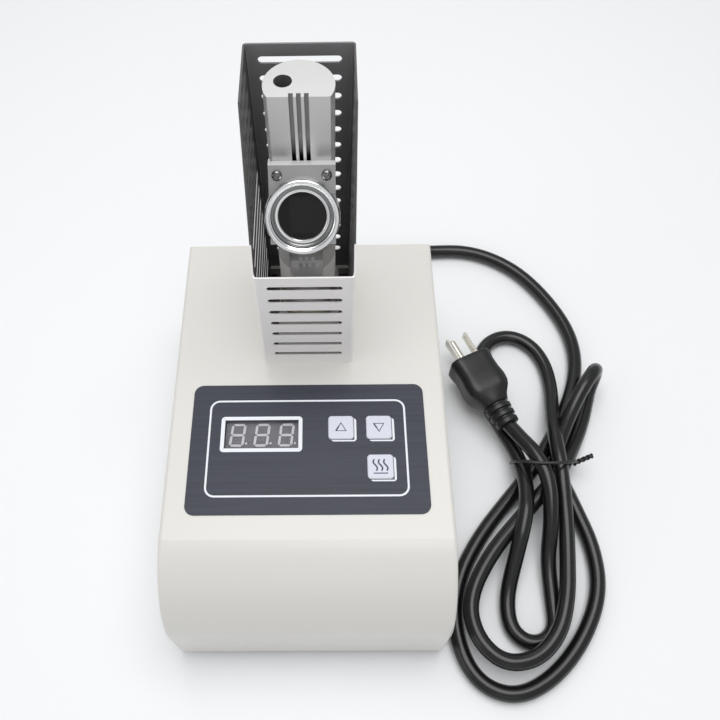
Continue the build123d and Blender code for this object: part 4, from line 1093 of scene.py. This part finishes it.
class MouldPlug(bpy.types.Operator):
    """Mould the plug with its ribbed neck and waisted grip, and tie the cord"""
    bl_idname = "apparatus.mould_plug"
    bl_label = "Mould Plug"

    def execute(self, context):
        clear_selection()
        bpy.ops.mesh.primitive_circle_add(
            vertices=48, radius=PLUG_START[1] * MM, fill_type="NGON", location=(0, 0, PLUG_START[0] * MM))
        plug = bpy.context.object
        apply_place(plug)
        in_edit(plug, "FACE")
        pull_through(PLUG_START, PLUG_SECTIONS)
        # a shallow recess in the plug's face, round its pins
        rim, recess = 1.6 * MM, 0.5 * MM
        bpy.ops.mesh.inset(thickness=rim, depth=0)
        bpy.ops.mesh.inset(thickness=recess, depth=-recess)
        leave_edit(merge=0.01 * MM)
        for vertex in plug.data.vertices:
            # the grip is squarer than the neck
            share = min(1.0, max(0.0, (vertex.co.z / MM - GRIP_START) / GRIP_BLEND))
            across, up = abs(vertex.co.x) / GRIP_WIDE, abs(vertex.co.y) / GRIP_THICK
            if across > 0 or up > 0:
                grow = 1 + share * (min(GRIP_SQUARE, math.hypot(across, up) / max(across, up)) - 1)
                vertex.co.x *= grow
                vertex.co.y *= grow
        soften(plug, 0.25 * MM, 35, 50)
        put(plug, plug_matrix())
        dress(plug, "plug_grip", "plug")
        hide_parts("plug_body")
        tie = to_mesh(wire("cord_tie_wire", tie_chains(), 0.95 * MM, steps=4))
        bpy.ops.object.shade_smooth()
        dress(tie, "cord_tie_wire", "tie")
        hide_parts("cord_tie")
        return {"FINISHED"}


# Each lamp's place, the point that it looks at, its size, and its multiple of the soft box power
LAMPS = {
    "soft_box_above": ((0.05, 0.10, 1.35), (0.0, 0.0, 0.05), 1.0, 4.0),
    "soft_box_left": ((-1.25, -0.55, 0.75), (0.0, 0.0, 0.08), 0.7, 0.5),
    "soft_box_front": ((0.10, -1.25, 0.75), (0.0, 0.0, 0.1), 0.9, 0.25),
    "soft_box_back": ((-0.10, 1.20, 1.10), (0.0, 0.0, 0.15), 0.8, 0.42),
}
# The camera, as fitted to the photograph
CAMERA_PLACE = (0.01235, -0.18592, 0.44917)
CAMERA_TURN = (0.529029, 0.013952, -0.001889)
CAMERA_LENS, CAMERA_SENSOR = 38.197, 36
CAMERA_SHIFT = (0.0517, -0.0015)


class BuildStudio(bpy.types.Operator):
    """Set up the table top, the soft light and the camera"""
    bl_idname = "apparatus.build_studio"
    bl_label = "Build Studio"

    def execute(self, context):
        scene = context.scene
        studio = scene.apparatus_studio
        clear_selection()
        bpy.ops.mesh.primitive_plane_add(size=8, location=(0, 0, -0.0001))
        floor = bpy.context.object
        floor.name = "table_top"
        tone = tuple(studio.floor_tone)
        floor.data.materials.append(new_material("Table top", tone, 0.6, tone=0.015, tone_scale=3.0)[0])
        # an even surround lights the apparatus, and the camera sees a nearly white one
        world = bpy.data.worlds.new("Soft surround")
        scene.world = world
        world.use_nodes = True
        tree = world.node_tree
        ground = tree.nodes["Background"]
        white = tree.nodes.new("ShaderNodeBackground")
        for node, colour, strength in ((ground, (0.96, 0.98, 1.0, 1), studio.daylight),
                                       (white, (0.97, 0.975, 0.98, 1), 1.0)):
            node.inputs["Color"].default_value = colour
            node.inputs["Strength"].default_value = strength
        path = tree.nodes.new("ShaderNodeLightPath")
        mix = tree.nodes.new("ShaderNodeMixShader")
        link(tree, path.outputs["Is Camera Ray"], mix.inputs["Fac"])
        link(tree, ground.outputs[0], mix.inputs[1])
        link(tree, white.outputs[0], mix.inputs[2])
        link(tree, mix.outputs[0], tree.nodes["World Output"].inputs["Surface"])
        for name, (spot, aim, size, multiple) in LAMPS.items():
            data = bpy.data.lights.new(name, "AREA")
            data.size = size
            data.energy = studio.key_power * multiple
            lamp = bpy.data.objects.new(name, data)
            lamp.location = spot
            lamp.rotation_euler = (Vector(aim) - Vector(spot)).to_track_quat("-Z", "Y").to_euler()
            context.collection.objects.link(lamp)
        camera_data = bpy.data.cameras.new("front_camera")
        camera_data.sensor_width = CAMERA_SENSOR
        camera_data.lens = CAMERA_LENS
        camera_data.shift_x, camera_data.shift_y = CAMERA_SHIFT
        camera = bpy.data.objects.new("front_camera", camera_data)
        camera.location = CAMERA_PLACE
        camera.rotation_euler = CAMERA_TURN
        context.collection.objects.link(camera)
        scene.camera = camera
        scene.view_settings.view_transform = "Standard"
        return {"FINISHED"}


STEPS = (
    FinishSolids, PrintPanel, PrintIcons, LayDigits, TurnRings, FitScrews, LayCord, MouldPlug, BuildStudio,
)

SETTINGS = {
    "apparatus_cabinet": ApparatusCabinet,
    "apparatus_panel": ApparatusPanel,
    "apparatus_cord": ApparatusCord,
    "apparatus_studio": ApparatusStudio,
}


class ApparatusSidebar(bpy.types.Panel):
    """The steps in order, and the settings, in the sidebar"""
    bl_idname = "VIEW3D_PT_apparatus"
    bl_label = "Melting Point Apparatus"
    bl_space_type = "VIEW_3D"
    bl_region_type = "UI"
    bl_category = "Apparatus"

    def draw(self, context):
        for step in STEPS:
            self.layout.operator(step.bl_idname)
        for settings in SETTINGS:
            box = self.layout.box()
            group = getattr(context.scene, settings)
            for name in group.__annotations__:
                box.prop(group, name)


def register():
    for name, group in SETTINGS.items():
        bpy.utils.register_class(group)
        setattr(bpy.types.Scene, name, bpy.props.PointerProperty(type=group))
    for step in STEPS:
        bpy.utils.register_class(step)
    bpy.utils.register_class(ApparatusSidebar)


def unregister():
    bpy.utils.unregister_class(ApparatusSidebar)
    for step in reversed(STEPS):
        bpy.utils.unregister_class(step)
    for name, group in SETTINGS.items():
        delattr(bpy.types.Scene, name)
        bpy.utils.unregister_class(group)


def main():
    register()
    for step in STEPS:
        area, name = step.bl_idname.split(".")
        result = getattr(getattr(bpy.ops, area), name)()
        if "FINISHED" not in result:
            raise RuntimeError(step.bl_label + " didn't finish")


if __name__ == "__main__":
    main()
